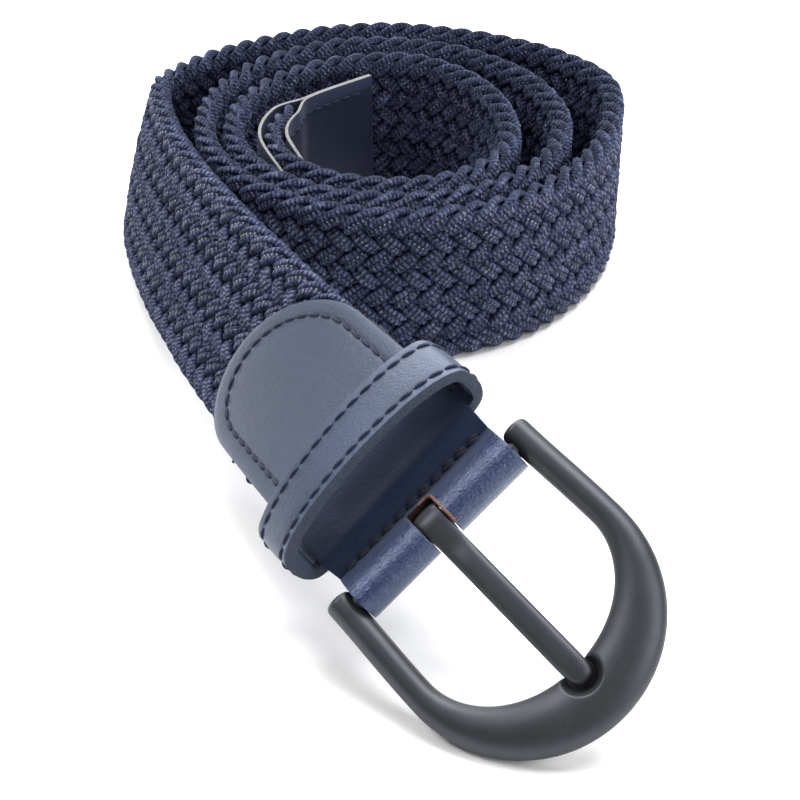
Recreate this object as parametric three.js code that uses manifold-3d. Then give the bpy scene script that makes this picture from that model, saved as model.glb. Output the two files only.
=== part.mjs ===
// Braided stretch belt, partly rolled up, in millimetres with +Z up.
// Three turns of braided webbing stand on edge on the ground. The leather-capped tip is inside
// the coil. The buckle end runs out of the coil towards -Y and leans over as it goes, so that
// its outer face turns up. The origin is under the middle of the belt's bounding box.

import * as THREE from 'three';
import { mergeVertices } from 'three/addons/utils/BufferGeometryUtils.js';
import Module from 'manifold-3d';

const wasm = await Module();
wasm.setup();

// Driving dimensions: strap, leather and the gap that neighbouring pieces keep
const WEBBING_WIDTH = 35;
const WEBBING_THICKNESS = 5;
const WEBBING_SEWN_THICKNESS = 4.2; // where it is squeezed between two layers of leather
const SQUEEZE_LENGTH = 6; // over which it thins, just before the leather
const WEBBING_CORNER = 1.2;
const WEBBING_STEP = 3;
const LEATHER = 1.3;
const GAP = 0.3;

// Plan of the coil: the points where the strap turns back, from the tip outwards. The strap runs
// counter-clockwise seen from above. The numbers are in the drawing's own axes, before the turn.
// fullness is how far the quarter turn that starts there bulges: 0.55 is part of an ellipse.
// fullnessAtEnd is the same at the turn's other end, where it differs.
const TURNING_POINTS = [
  { side: 'left', x: -27.3, y: 354, fullness: 0.55 },
  { side: 'front', x: -1, y: 330.4, fullness: 0.55 },
  { side: 'right', x: 24, y: 355.5, fullness: 0.55 },
  { side: 'back', x: -3, y: 394.4, fullness: 0.55 },
  { side: 'left', x: -36.3, y: 359, fullness: 0.55 },
  { side: 'front', x: -1, y: 323.8, fullness: 0.55 },
  { side: 'right', x: 35.4, y: 360, fullness: 0.55 },
  { side: 'back', x: -6, y: 403.7, fullness: 0.55 },
  { side: 'left', x: -42.8, y: 363, fullness: 0.55 },
  { side: 'front', x: 0.5, y: 316.8, fullness: 0.55 },
  { side: 'right', x: 48, y: 376, fullness: 0.49 },
  { side: 'back', x: -7, y: 412.6, fullness: 0.5, fullnessAtEnd: 0.39 },
  { side: 'left', x: -58.3, y: 380 },
];
const TIP_END = { x: -6.9, y: 385.5 };
const TIP_BEND = { x: -27.3, y: 367.5 };

// The run-out: from the last turning point to the middle of the crossbar
const BAR_CENTRE = new THREE.Vector3(6, 230.5, 22.8);
const BAR_HEADING = -57.7; // degrees, of the strap in plan
const BAR_RISE = -3.5; // degrees, of the strap above the level
const RUN_OUT_START_PULL = 37.4; // length of the curve's handle where it leaves the coil
const RUN_OUT_END_PULL = 43.1;
const LEAN_AT_COIL = 90; // degrees between the strap's width and the ground
const LEAN_AT_BAR = 34.8;
const LEAN_POWER = 1.38; // over 1, so that the strap starts to lean gently
const LEAN_EARLY = 0.1; // the strap leans this share more just after it leaves the coil
const HUMP = 12.2; // makes the largest value of x (1 - x)^4 one

// Leather at the buckle, measured back from the crossbar
const STRAP_HALF_WIDTH = 17.8;
const FOLD_HALF_WIDTH = 17.25; // the leather narrows to pass between the frame's arms
const TAB_LENGTH = 67.1;
const TAB_END_SHORTER = 1.9; // the rounded end is sewn on a little askew: shorter by this much
const TAB_END_SLOPE = 0.33; // and by this much more for each millimetre towards the upper edge
const ASKEW_FROM = 32; // the slant sets in this far behind the crossbar
const ASKEW_FULLY = 52;
const WEBBING_TO_BAR = 24.6;
const PINCH_TO_BAR = 5.7; // the seam behind the fold presses the two layers together
const SEAM_CREST_TO_BAR = 10.2;
const SLOT_HALF_WIDTH = 3.1;
const SLOT_BEHIND_BAR = 4.3;

// Leather at the tip, measured from its free end
const TIP_HALF_WIDTH = 17.2;
const TIP_LENGTH = 62;
const TIP_TO_WEBBING = 25;

// Keeper: an arch whose two ends are tucked in between the layers at the strap's edges. The table
// is half of its middle line across the strap, from the top to the tucked end.
const KEEPER_FRONT = 10.7;
const KEEPER_BACK = 20.9;
const KEEPER_WALL = 2.1;
const KEEPER_END_ABOVE = 1.05;
const KEEPER_LINE = [
  { across: 0, above: 13 },
  { across: 7.5, above: 12.6 },
  { across: 12.8, above: 11.8 },
  { across: 17.6, above: 10.3 },
  { across: 20.2, above: 8.7 },
  { across: 20.9, above: 6.4 },
  { across: 20.7, above: 3.4 },
  { across: 19.6, above: 1.6 },
  { across: 17.4, above: KEEPER_END_ABOVE },
  { across: 12.5, above: KEEPER_END_ABOVE },
];

// Buckle frame: a horseshoe of straight arms and half an ellipse
const FRAME_DROP = 20.4; // degrees that the frame hangs below the strap
const ARM_SPACING = 20.6; // from the middle to the middle of an arm
const ARM_TOE_IN = 0.6;
const ARM_RADIUS = 2.5;
const ARM_BEHIND_BAR = 2.9;
const ARM_END_ROUNDING = 1;
const BEND_START = 18;
const FRONT_REACH = 37.6;
const FRONT_HALF_WIDTH = 5.45;
const FRONT_HALF_THICKNESS = 3;
const BAR_RADIUS = 2;
const NOTCH_HALF_WIDTH = 3;
const NOTCH_END = 36.4;
const NOTCH_FLOOR = -0.7;

// Prong: half width, half thickness, ring, and the shank's middle line
const PRONG_HALF_WIDTH = 2.55;
const PRONG_HALF_THICKNESS = 1.2;
const RING_OUTER_RADIUS = 3.7;
const SHANK_LINE = [
  { ahead: 1.5, above: 1.6 },
  { ahead: 7, above: 1.6 },
  { ahead: 16, above: 1.5 },
  { ahead: 27, above: 1.2 },
  { ahead: 31.5, above: 1 },
  { ahead: 35.3, above: 0.9 },
];

// Meshes and solids

function closedGeometry(positions, triangles) {
  // positions: list of Vector3. Turns the faces outwards if the volume comes out negative.
  let volume = 0;
  for (const [i, j, k] of triangles) {
    volume += positions[i].dot(new THREE.Vector3().crossVectors(positions[j], positions[k]));
  }
  const order = volume > 0 ? [0, 1, 2] : [0, 2, 1];
  const geometry = new THREE.BufferGeometry();
  geometry.setAttribute('position', new THREE.Float32BufferAttribute(positions.flatMap((p) => p.toArray()), 3));
  geometry.setIndex(triangles.flatMap((t) => order.map((n) => t[n])));
  return geometry;
}

function loft(sections) {
  // sections: rings of equally many points. A flat fan closes each end.
  const count = sections[0].length;
  const end = (sections.length - 1) * count;
  const triangles = [];
  for (let a = 0; a < end; a += count) {
    const b = a + count;
    for (let j = 0; j < count; j += 1) {
      const k = (j + 1) % count;
      triangles.push([a + j, a + k, b + k], [a + j, b + k, b + j]);
    }
  }
  for (let j = 1; j < count - 1; j += 1) {
    triangles.push([0, j + 1, j], [end, end + j, end + j + 1]);
  }
  return closedGeometry(sections.flat(), triangles);
}

function toSolid(geometry, matrix = new THREE.Matrix4()) {
  const plain = geometry.clone().applyMatrix4(matrix);
  plain.deleteAttribute('normal');
  plain.deleteAttribute('uv');
  const merged = mergeVertices(plain, 1e-4);
  const mesh = new wasm.Mesh({
    numProp: 3,
    vertProperties: new Float32Array(merged.attributes.position.array),
    triVerts: new Uint32Array(merged.index.array),
  });
  return new wasm.Manifold(mesh);
}

function toGeometry(solid) {
  const mesh = solid.getMesh();
  const geometry = new THREE.BufferGeometry();
  geometry.setAttribute('position', new THREE.Float32BufferAttribute(mesh.vertProperties, 3));
  geometry.setIndex(Array.from(mesh.triVerts));
  return geometry;
}

function smoothStep(from, to, value) {
  return THREE.MathUtils.smoothstep(value, from, to);
}

// Middle line of the strap, as many short steps

const QUARTER_STEPS = 48;
const TIP_STEPS = 24;
const RUN_OUT_STEPS = 160;

function quarterTurn(from, to) {
  // From one turning point to the next, square to the line to the middle at both ends.
  const alongY = from.side === 'left' || from.side === 'right';
  const { fullness, fullnessAtEnd = fullness } = from;
  const z = WEBBING_WIDTH / 2;
  const curve = new THREE.CubicBezierCurve3(
    new THREE.Vector3(from.x, from.y, z),
    alongY
      ? new THREE.Vector3(from.x, THREE.MathUtils.lerp(from.y, to.y, fullness), z)
      : new THREE.Vector3(THREE.MathUtils.lerp(from.x, to.x, fullness), from.y, z),
    alongY
      ? new THREE.Vector3(THREE.MathUtils.lerp(to.x, from.x, fullnessAtEnd), to.y, z)
      : new THREE.Vector3(to.x, THREE.MathUtils.lerp(to.y, from.y, fullnessAtEnd), z),
    new THREE.Vector3(to.x, to.y, z),
  );
  return curve.getPoints(QUARTER_STEPS).slice(0, -1);
}

function tipBend() {
  const z = WEBBING_WIDTH / 2;
  const first = TURNING_POINTS[0];
  const curve = new THREE.QuadraticBezierCurve3(
    new THREE.Vector3(TIP_END.x, TIP_END.y, z),
    new THREE.Vector3(TIP_BEND.x, TIP_BEND.y, z),
    new THREE.Vector3(first.x, first.y, z),
  );
  return curve.getPoints(TIP_STEPS).slice(0, -1);
}

function runOut() {
  const heading = THREE.MathUtils.degToRad(BAR_HEADING);
  const rise = THREE.MathUtils.degToRad(BAR_RISE);
  const level = Math.cos(rise);
  const direction = new THREE.Vector3(Math.cos(heading) * level, Math.sin(heading) * level, Math.sin(rise));
  const last = TURNING_POINTS.at(-1);
  const start = new THREE.Vector3(last.x, last.y, WEBBING_WIDTH / 2);
  const curve = new THREE.CubicBezierCurve3(
    start,
    start.clone().add(new THREE.Vector3(0, -RUN_OUT_START_PULL, 0)),
    BAR_CENTRE.clone().addScaledVector(direction, -RUN_OUT_END_PULL),
    BAR_CENTRE,
  );
  return curve.getPoints(RUN_OUT_STEPS);
}

const coilLine = TURNING_POINTS.slice(0, -1).flatMap((from, i) => quarterTurn(from, TURNING_POINTS[i + 1]));
const line = [...tipBend(), ...coilLine, ...runOut()];
const lengths = [0];
for (let i = 1; i < line.length; i += 1) {
  lengths.push(lengths[i - 1] + line[i].distanceTo(line[i - 1]));
}
const BAR_AT = lengths.at(-1);
const LEAN_FROM = lengths[TIP_STEPS + (TURNING_POINTS.length - 2) * QUARTER_STEPS]; // the last back point

function placeOnLine(s) {
  // Point and direction at the length s from the tip; past the crossbar the line goes on straight.
  const inside = THREE.MathUtils.clamp(s, 0, BAR_AT);
  let i = lengths.findIndex((length) => length > inside);
  i = i < 0 ? line.length - 1 : i;
  const share = (inside - lengths[i - 1]) / (lengths[i] - lengths[i - 1]);
  const before = line[Math.max(i - 2, 0)];
  const after = line[Math.min(i + 1, line.length - 1)];
  const stepBefore = line[i].clone().sub(before);
  const stepAfter = after.clone().sub(line[i - 1]);
  const tangent = stepBefore.lerp(stepAfter, share).normalize();
  const point = line[i - 1].clone().lerp(line[i], share).addScaledVector(tangent, s - inside);
  return { point, tangent };
}

function frameAt(s) {
  // Axes of the strap: along it, across it towards its upper edge, and out of its outer face.
  const { point, tangent } = placeOnLine(s);
  const gone = THREE.MathUtils.clamp((s - LEAN_FROM) / (BAR_AT - LEAN_FROM), 0, 1);
  const share = gone ** LEAN_POWER + LEAN_EARLY * HUMP * gone * (1 - gone) ** 4;
  const lean = THREE.MathUtils.degToRad(THREE.MathUtils.lerp(LEAN_AT_COIL, LEAN_AT_BAR, share));
  const level = new THREE.Vector3(-tangent.y, tangent.x, 0).normalize();
  const upright = new THREE.Vector3().crossVectors(tangent, level);
  const across = level.clone().multiplyScalar(Math.cos(lean)).addScaledVector(upright, Math.sin(lean));
  const outward = level.clone().multiplyScalar(-Math.sin(lean)).addScaledVector(upright, Math.cos(lean));
  return { point, tangent, across, outward };
}

function onStrap(s, across, above) {
  const frame = frameAt(s);
  return frame.point.addScaledVector(frame.across, across).addScaledVector(frame.outward, above);
}

function evenly(from, to, step) {
  const count = Math.max(1, Math.round(Math.abs(to - from) / step));
  return Array.from({ length: count + 1 }, (_, i) => from + ((to - from) * i) / count);
}

// Webbing

const WEBBING_START = TIP_TO_WEBBING;
const WEBBING_END = BAR_AT - WEBBING_TO_BAR;

function webbingHalfThickness(s) {
  const tabStart = BAR_AT - TAB_LENGTH - 1;
  const tipFinish = TIP_LENGTH + 1;
  const squeezedAtTip = 1 - smoothStep(tipFinish, tipFinish + SQUEEZE_LENGTH, s);
  const squeezedAtBar = smoothStep(tabStart - SQUEEZE_LENGTH, tabStart, s);
  const squeezed = Math.max(squeezedAtTip, squeezedAtBar);
  return THREE.MathUtils.lerp(WEBBING_THICKNESS, WEBBING_SEWN_THICKNESS, squeezed) / 2;
}

function webbingGeometry() {
  const half = WEBBING_WIDTH / 2;
  const sections = evenly(WEBBING_START, WEBBING_END, WEBBING_STEP).map((s) => {
    const thick = webbingHalfThickness(s);
    const outline = [
      [half - WEBBING_CORNER, thick],
      [half, thick - WEBBING_CORNER],
      [half, WEBBING_CORNER - thick],
      [half - WEBBING_CORNER, -thick],
      [WEBBING_CORNER - half, -thick],
      [-half, WEBBING_CORNER - thick],
      [-half, thick - WEBBING_CORNER],
      [WEBBING_CORNER - half, thick],
    ];
    return outline.map(([across, above]) => onStrap(s, across, above));
  });
  return loft(sections);
}

// Leather layers

function roundedEnd(endAt, halfWidth, towards, steps = 9) {
  // Stations of a half-round end: the place along the strap and the half width there.
  return Array.from({ length: steps }, (_, i) => {
    const angle = THREE.MathUtils.degToRad(86) * (1 - i / (steps - 1));
    const along = endAt + towards * halfWidth * (1 - Math.sin(angle));
    return { along, half: halfWidth * Math.cos(angle) };
  });
}

const SHARES_ACROSS = [1, 0.5, 0, -0.5, -1]; // places across the strap in a section of a layer

function leatherStrip(stations, sOf) {
  // stations: along, above and half width of a thin strip, in order. Its wall stands square on
  // its own middle line; sOf turns a place along and across the strap into the length from the tip.
  const sections = stations.map((station, i) => {
    const before = stations[Math.max(i - 1, 0)];
    const after = stations[Math.min(i + 1, stations.length - 1)];
    const run = new THREE.Vector2(after.along - before.along, after.above - before.above).normalize();
    const place = (share, face) => onStrap(
      sOf(station.along - (run.y * face * LEATHER) / 2, share * station.half),
      share * station.half,
      station.above + (run.x * face * LEATHER) / 2,
    );
    return [
      ...SHARES_ACROSS.map((share) => place(share, 1)),
      ...[...SHARES_ACROSS].reverse().map((share) => place(share, -1)),
    ];
  });
  return loft(sections);
}

const SEWN_ABOVE = WEBBING_SEWN_THICKNESS / 2 + GAP + LEATHER / 2;
const GLUED_ABOVE = (GAP + LEATHER) / 2;
const FOLD_RADIUS = BAR_RADIUS + GAP + LEATHER / 2;

function dipShare(along) {
  return smoothStep(-SEAM_CREST_TO_BAR, -PINCH_TO_BAR, along);
}

function underKeeper(along) {
  // Height of the inner layer's middle line, which closes on the keeper's tucked ends.
  const tucked = GAP + (KEEPER_WALL + LEATHER) / 2 - KEEPER_END_ABOVE;
  const rise = smoothStep(-WEBBING_TO_BAR + GAP, -KEEPER_BACK - GAP, along);
  const atKeeper = THREE.MathUtils.lerp(SEWN_ABOVE, tucked, rise);
  return THREE.MathUtils.lerp(atKeeper, GLUED_ABOVE, dipShare(along));
}

function buckleLeatherSide(inner) {
  // Stations of one layer, from the rounded end of the tab to the seam behind the fold.
  const end = roundedEnd(-TAB_LENGTH, STRAP_HALF_WIDTH, 1);
  const places = [
    ...evenly(STRAP_HALF_WIDTH + 3 - TAB_LENGTH, -WEBBING_TO_BAR, 4),
    ...evenly(-WEBBING_TO_BAR, -KEEPER_BACK, 0.6).slice(1),
    ...evenly(-KEEPER_BACK, -SEAM_CREST_TO_BAR, 4).slice(1),
    ...evenly(-SEAM_CREST_TO_BAR, -PINCH_TO_BAR, 0.9).slice(1),
  ];
  const straight = places.map((along) => ({
    along,
    half: THREE.MathUtils.lerp(STRAP_HALF_WIDTH, FOLD_HALF_WIDTH, dipShare(along)),
  }));
  return [...end, ...straight].map((station) => ({
    ...station,
    above: inner
      ? -underKeeper(station.along)
      : THREE.MathUtils.lerp(SEWN_ABOVE, GLUED_ABOVE, dipShare(station.along)),
  }));
}

function foldStations() {
  // Round the crossbar from the outer side to the inner side. The straight run from the seam
  // meets the circle where it is tangent to it.
  const reach = Math.hypot(PINCH_TO_BAR, GLUED_ABOVE);
  const slope = Math.asin(FOLD_RADIUS / reach) - Math.atan2(GLUED_ABOVE, PINCH_TO_BAR);
  const first = Math.PI / 2 + slope;
  return evenly(first, -first, Math.PI / 12).map((angle) => ({
    along: FOLD_RADIUS * Math.cos(angle),
    above: FOLD_RADIUS * Math.sin(angle),
    half: FOLD_HALF_WIDTH,
  }));
}

function endFrameMatrix() {
  const { point, tangent, across, outward } = frameAt(BAR_AT);
  return new THREE.Matrix4().makeBasis(tangent, across, outward).setPosition(point);
}

function askewBy(along, across) {
  // How far the rounded end of the tab is pulled towards the crossbar, at a place on it.
  const share = 1 - smoothStep(-ASKEW_FULLY, -ASKEW_FROM, along);
  return share * (TAB_END_SHORTER + TAB_END_SLOPE * across);
}

function buckleLeatherGeometry() {
  const outerLayer = buckleLeatherSide(false);
  const innerLayer = buckleLeatherSide(true).reverse();
  const stations = [...outerLayer, ...foldStations(), ...innerLayer];
  const strip = leatherStrip(stations, (along, across) => BAR_AT + along + askewBy(along, across));
  const slotLength = SLOT_BEHIND_BAR + FOLD_RADIUS + LEATHER + 1;
  const slotHeight = 2 * (FOLD_RADIUS + LEATHER + 1);
  const slot = new THREE.BoxGeometry(slotLength, 2 * SLOT_HALF_WIDTH, slotHeight);
  slot.translate(slotLength / 2 - SLOT_BEHIND_BAR, 0, 0);
  return toGeometry(toSolid(strip).subtract(toSolid(slot, endFrameMatrix())));
}

function tipLeatherGeometry(side) {
  // One of the two layers of the tip: side is 1 on the outer face and -1 on the hollow side.
  const glued = evenly(0, TIP_TO_WEBBING - 5, 4).map((along) => ({ along, above: GLUED_ABOVE }));
  const climb = evenly(TIP_TO_WEBBING - 5, TIP_TO_WEBBING - 0.5, 1.1).slice(1).map((along) => ({
    along,
    above: THREE.MathUtils.lerp(GLUED_ABOVE, SEWN_ABOVE, smoothStep(TIP_TO_WEBBING - 5, TIP_TO_WEBBING - 0.5, along)),
  }));
  const flat = evenly(TIP_TO_WEBBING - 0.5, TIP_LENGTH - TIP_HALF_WIDTH - 2, 4).slice(1).map((along) => ({
    along,
    above: SEWN_ABOVE,
  }));
  const straight = [...glued, ...climb, ...flat].map((station) => ({ ...station, half: TIP_HALF_WIDTH }));
  const end = roundedEnd(TIP_LENGTH, TIP_HALF_WIDTH, -1).reverse().map((station) => ({
    ...station,
    above: SEWN_ABOVE,
  }));
  const stations = [...straight, ...end].map((station) => ({ ...station, above: side * station.above }));
  return leatherStrip(stations, (along) => along);
}

// Keeper

function keeperGeometry() {
  const half = KEEPER_LINE.map(({ across, above }) => new THREE.Vector3(across, above, 0));
  const mirrored = half.slice(1).reverse().map((p) => new THREE.Vector3(-p.x, p.y, 0));
  const curve = new THREE.CatmullRomCurve3([...mirrored, ...half], false, 'centripetal');
  const steps = 72;
  const sections = Array.from({ length: steps + 1 }, (_, i) => {
    const at = curve.getPointAt(i / steps);
    const run = curve.getTangentAt(i / steps);
    const out = new THREE.Vector2(-run.y, run.x).multiplyScalar(KEEPER_WALL / 2);
    const corner = (back, face) => onStrap(BAR_AT - back, at.x + face * out.x, at.y + face * out.y);
    return [
      corner(KEEPER_FRONT, 1),
      corner(KEEPER_BACK, 1),
      corner(KEEPER_BACK, -1),
      corner(KEEPER_FRONT, -1),
    ];
  });
  return loft(sections);
}

// Buckle frame and prong, in their own axes: X ahead of the crossbar, Y across, Z up

function ellipseRing(centre, outward, halfWidth, halfThickness, sides = 12) {
  return Array.from({ length: sides }, (_, i) => {
    const angle = ((i + 0.5) / sides) * 2 * Math.PI;
    return centre.clone()
      .addScaledVector(outward, halfWidth * Math.cos(angle))
      .add(new THREE.Vector3(0, 0, halfThickness * Math.sin(angle)));
  });
}

function armStations() {
  // The arm at +Y from its end to the bend: place, direction outwards, and a scale at the end.
  const from = -ARM_BEHIND_BAR;
  const rounding = [0, 0.3, 0.7, 1].map((share) => ({
    ahead: from + ARM_END_ROUNDING * share,
    scale: 1 - 0.3 * (1 - Math.sqrt(1 - (1 - share) ** 2)),
  }));
  const straight = evenly(from + ARM_END_ROUNDING, BEND_START, 5).slice(1, -1).map((ahead) => ({ ahead, scale: 1 }));
  return [...rounding, ...straight].map(({ ahead, scale }) => {
    const inwards = ARM_TOE_IN * (1 - smoothStep(from, BEND_START, ahead));
    return {
      centre: new THREE.Vector3(ahead, ARM_SPACING - inwards, 0),
      outward: new THREE.Vector3(0, 1, 0),
      halfWidth: ARM_RADIUS * scale,
      halfThickness: ARM_RADIUS * scale,
    };
  });
}

function bendStations(steps = 32) {
  return Array.from({ length: steps + 1 }, (_, i) => {
    const angle = Math.PI / 2 - (Math.PI * i) / steps;
    const reach = FRONT_REACH - BEND_START;
    const centre = new THREE.Vector3(BEND_START + reach * Math.cos(angle), ARM_SPACING * Math.sin(angle), 0);
    const outward = new THREE.Vector3(Math.cos(angle) / reach, Math.sin(angle) / ARM_SPACING, 0).normalize();
    const swell = Math.cos(angle) ** 1.5;
    return {
      centre,
      outward,
      halfWidth: THREE.MathUtils.lerp(ARM_RADIUS, FRONT_HALF_WIDTH, swell),
      halfThickness: THREE.MathUtils.lerp(ARM_RADIUS, FRONT_HALF_THICKNESS, swell),
    };
  });
}

function frameGeometry() {
  const arm = armStations();
  const mirror = (v) => new THREE.Vector3(v.x, -v.y, v.z);
  const otherArm = arm.map((station) => ({
    ...station,
    centre: mirror(station.centre),
    outward: mirror(station.outward),
  })).reverse();
  const sections = [...arm, ...bendStations(), ...otherArm].map((station) => (
    ellipseRing(station.centre, station.outward, station.halfWidth, station.halfThickness)
  ));
  const bar = new THREE.CylinderGeometry(BAR_RADIUS, BAR_RADIUS, 2 * ARM_SPACING, 24);
  const notchShape = new THREE.Shape();
  const notchCentre = NOTCH_END - NOTCH_HALF_WIDTH;
  notchShape.moveTo(BEND_START, -NOTCH_HALF_WIDTH);
  notchShape.lineTo(notchCentre, -NOTCH_HALF_WIDTH);
  notchShape.absarc(notchCentre, 0, NOTCH_HALF_WIDTH, -Math.PI / 2, Math.PI / 2, false);
  notchShape.lineTo(BEND_START, NOTCH_HALF_WIDTH);
  const notch = new THREE.ExtrudeGeometry(notchShape, { depth: 10, bevelEnabled: false, curveSegments: 8 });
  notch.translate(0, 0, NOTCH_FLOOR);
  return toGeometry(toSolid(loft(sections)).add(toSolid(bar)).subtract(toSolid(notch)));
}

function prongGeometry() {
  const ringShape = new THREE.Shape().absarc(0, 0, RING_OUTER_RADIUS, 0, 2 * Math.PI, false);
  ringShape.holes.push(new THREE.Path().absarc(0, 0, BAR_RADIUS + GAP, 0, 2 * Math.PI, true));
  const ring = new THREE.ExtrudeGeometry(ringShape, {
    depth: 2 * PRONG_HALF_WIDTH,
    bevelEnabled: false,
    curveSegments: 14,
  });
  ring.translate(0, 0, -PRONG_HALF_WIDTH);
  ring.rotateX(Math.PI / 2);
  const curve = new THREE.CatmullRomCurve3(SHANK_LINE.map(({ ahead, above }) => new THREE.Vector3(ahead, 0, above)));
  const steps = 24;
  const side = new THREE.Vector3(0, 1, 0);
  const sections = Array.from({ length: steps + 1 }, (_, i) => {
    const share = i / steps;
    const at = curve.getPointAt(share);
    const up = new THREE.Vector3().crossVectors(curve.getTangentAt(share), side);
    const taper = 1 - 0.35 * smoothStep(0.94, 1, share);
    const wide = PRONG_HALF_WIDTH * taper;
    const thick = PRONG_HALF_THICKNESS * taper;
    const corner = 0.6;
    const outline = [
      [wide, thick - corner],
      [wide - corner, thick],
      [corner - wide, thick],
      [-wide, thick - corner],
      [-wide, corner - thick],
      [corner - wide, -thick],
      [wide - corner, -thick],
      [wide, corner - thick],
    ];
    return outline.map(([y, z]) => at.clone().addScaledVector(side, y).addScaledVector(up, z));
  });
  const bore = new THREE.CylinderGeometry(BAR_RADIUS + GAP, BAR_RADIUS + GAP, 4 * PRONG_HALF_WIDTH, 56);
  return toGeometry(toSolid(loft(sections)).add(toSolid(ring)).subtract(toSolid(bore)));
}

// Finishes, as plain colours

const finishes = {
  braid: { color: 0x23253a, roughness: 0.85, metalness: 0 },
  smoothLeather: { color: 0x2b3349, roughness: 0.5, metalness: 0 },
  grainLeather: { color: 0x24305a, roughness: 0.55, metalness: 0 },
  tipLeather: { color: 0x1d2438, roughness: 0.6, metalness: 0 },
  mattBlack: { color: 0x2a2e35, roughness: 0.45, metalness: 0.6 },
};

function piece(name, geometry, finish) {
  const mesh = new THREE.Mesh(geometry, new THREE.MeshStandardMaterial(finishes[finish]));
  mesh.name = name;
  return mesh;
}

// Assembly

const strapPieces = [
  piece('webbing', webbingGeometry(), 'braid'),
  piece('tip_leather_inner', tipLeatherGeometry(-1), 'tipLeather'),
  piece('tip_leather_outer', tipLeatherGeometry(1), 'tipLeather'),
  piece('buckle_leather', buckleLeatherGeometry(), 'smoothLeather'),
  piece('keeper_loop', keeperGeometry(), 'grainLeather'),
];

const buckle = new THREE.Group();
buckle.add(piece('buckle_frame', frameGeometry(), 'mattBlack'));
buckle.add(piece('prong', prongGeometry(), 'mattBlack'));
buckle.rotation.y = THREE.MathUtils.degToRad(FRAME_DROP);

const barEnd = new THREE.Group();
barEnd.add(buckle);
endFrameMatrix().decompose(barEnd.position, barEnd.quaternion, barEnd.scale);

// The drawing is turned so that the buckle end runs along -Y, then moved over the origin.
const belt = new THREE.Group();
belt.add(...strapPieces, barEnd);
belt.rotation.z = THREE.MathUtils.degToRad(-90 - BAR_HEADING);
belt.updateMatrixWorld(true);
const box = new THREE.Box3().setFromObject(belt, true);
const centre = box.getCenter(new THREE.Vector3());
belt.position.set(-centre.x, -centre.y, -box.min.z);
belt.updateMatrixWorld(true);

export default belt;
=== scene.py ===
# %% [markdown]
# # A braided stretch belt, rolled up on its edge
# The belt is a flat braid of doubled cords with leather at both ends. Three turns stand on edge,
# the tip is inside the roll, and the buckle end runs out and leans over until it nearly lies down.
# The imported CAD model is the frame: it says where every piece is and how the buckle swings.
# This script gives each piece its real surface: cords, stitches, cut leather and coated metal.

import bpy
import numpy as np
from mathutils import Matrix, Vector


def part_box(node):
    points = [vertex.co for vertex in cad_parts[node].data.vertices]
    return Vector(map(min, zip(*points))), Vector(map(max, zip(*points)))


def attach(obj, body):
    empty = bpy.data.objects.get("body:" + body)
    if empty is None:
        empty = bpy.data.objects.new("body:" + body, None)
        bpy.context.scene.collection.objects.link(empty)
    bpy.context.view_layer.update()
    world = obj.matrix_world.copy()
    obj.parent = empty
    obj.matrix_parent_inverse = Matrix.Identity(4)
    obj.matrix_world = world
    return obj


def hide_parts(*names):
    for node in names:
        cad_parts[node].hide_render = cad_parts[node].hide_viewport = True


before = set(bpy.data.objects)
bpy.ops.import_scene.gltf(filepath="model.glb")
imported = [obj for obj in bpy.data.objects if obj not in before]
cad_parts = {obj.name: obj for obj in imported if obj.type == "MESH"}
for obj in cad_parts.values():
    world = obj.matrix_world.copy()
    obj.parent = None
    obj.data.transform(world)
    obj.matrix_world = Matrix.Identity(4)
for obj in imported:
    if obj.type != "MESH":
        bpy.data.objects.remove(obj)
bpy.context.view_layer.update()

# %% [markdown]
# ## The strap's line
# Every soft piece follows one line, the middle of the strap. In plan the roll is a chain of quarter
# turns between the points where the strap turns back. The last stretch is one long curve in space
# from the roll to the buckle's crossbar. A table of turning points is enough for all of it, so the
# shape can be changed by moving one point. Sizes are in millimetres; places come out in metres.

# %% The strap's line in plan and in space
MM = 0.001
STRAP_WIDTH = 35
TIP_END = (-6.9, 385.5)
TIP_BEND = (-27.3, 367.5)
# where the strap turns back, from the tip outwards: left, front, right, back and so on
TURNING_POINTS = np.array([
    (-27.3, 354), (-1, 330.4), (24, 355.5), (-3, 394.4),
    (-36.3, 359), (-1, 323.8), (35.4, 360), (-6, 403.7),
    (-42.8, 363), (0.5, 316.8), (48, 376), (-7, 412.6), (-58.3, 380),
])
ROUND_TURN = (0.55, 0.55)  # how far a quarter turn bulges at its start and end: 0.55 is part of an ellipse
LAST_TURNS = [(0.49, 0.49), (0.50, 0.39)]  # the last two are flatter
BAR_CENTRE = np.array((6, 230.5, 22.8))
BAR_HEADING = np.radians(-57.7)
BAR_RISE = np.radians(-3.5)
RUN_OUT_START_PULL = 37.4
RUN_OUT_END_PULL = 43.1
LEAN_AT_COIL = np.radians(90)
LEAN_AT_BAR = np.radians(34.8)
LEAN_POWER = 1.38
LEAN_EARLY = 0.1  # the strap leans this share more where it leaves the roll
TURN_POINTS = 48  # in a quarter turn


def bezier(p0, p1, p2, p3, count):
    """Points of a cubic curve: the four corners weighted (1-t)^3, 3t(1-t)^2, 3t^2(1-t) and t^3."""
    t = np.linspace(0, 1, count, endpoint=False)[:, None]
    return (1 - t) ** 3 * p0 + 3 * t * (1 - t) ** 2 * p1 + 3 * t**2 * (1 - t) * p2 + t**3 * p3


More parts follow.
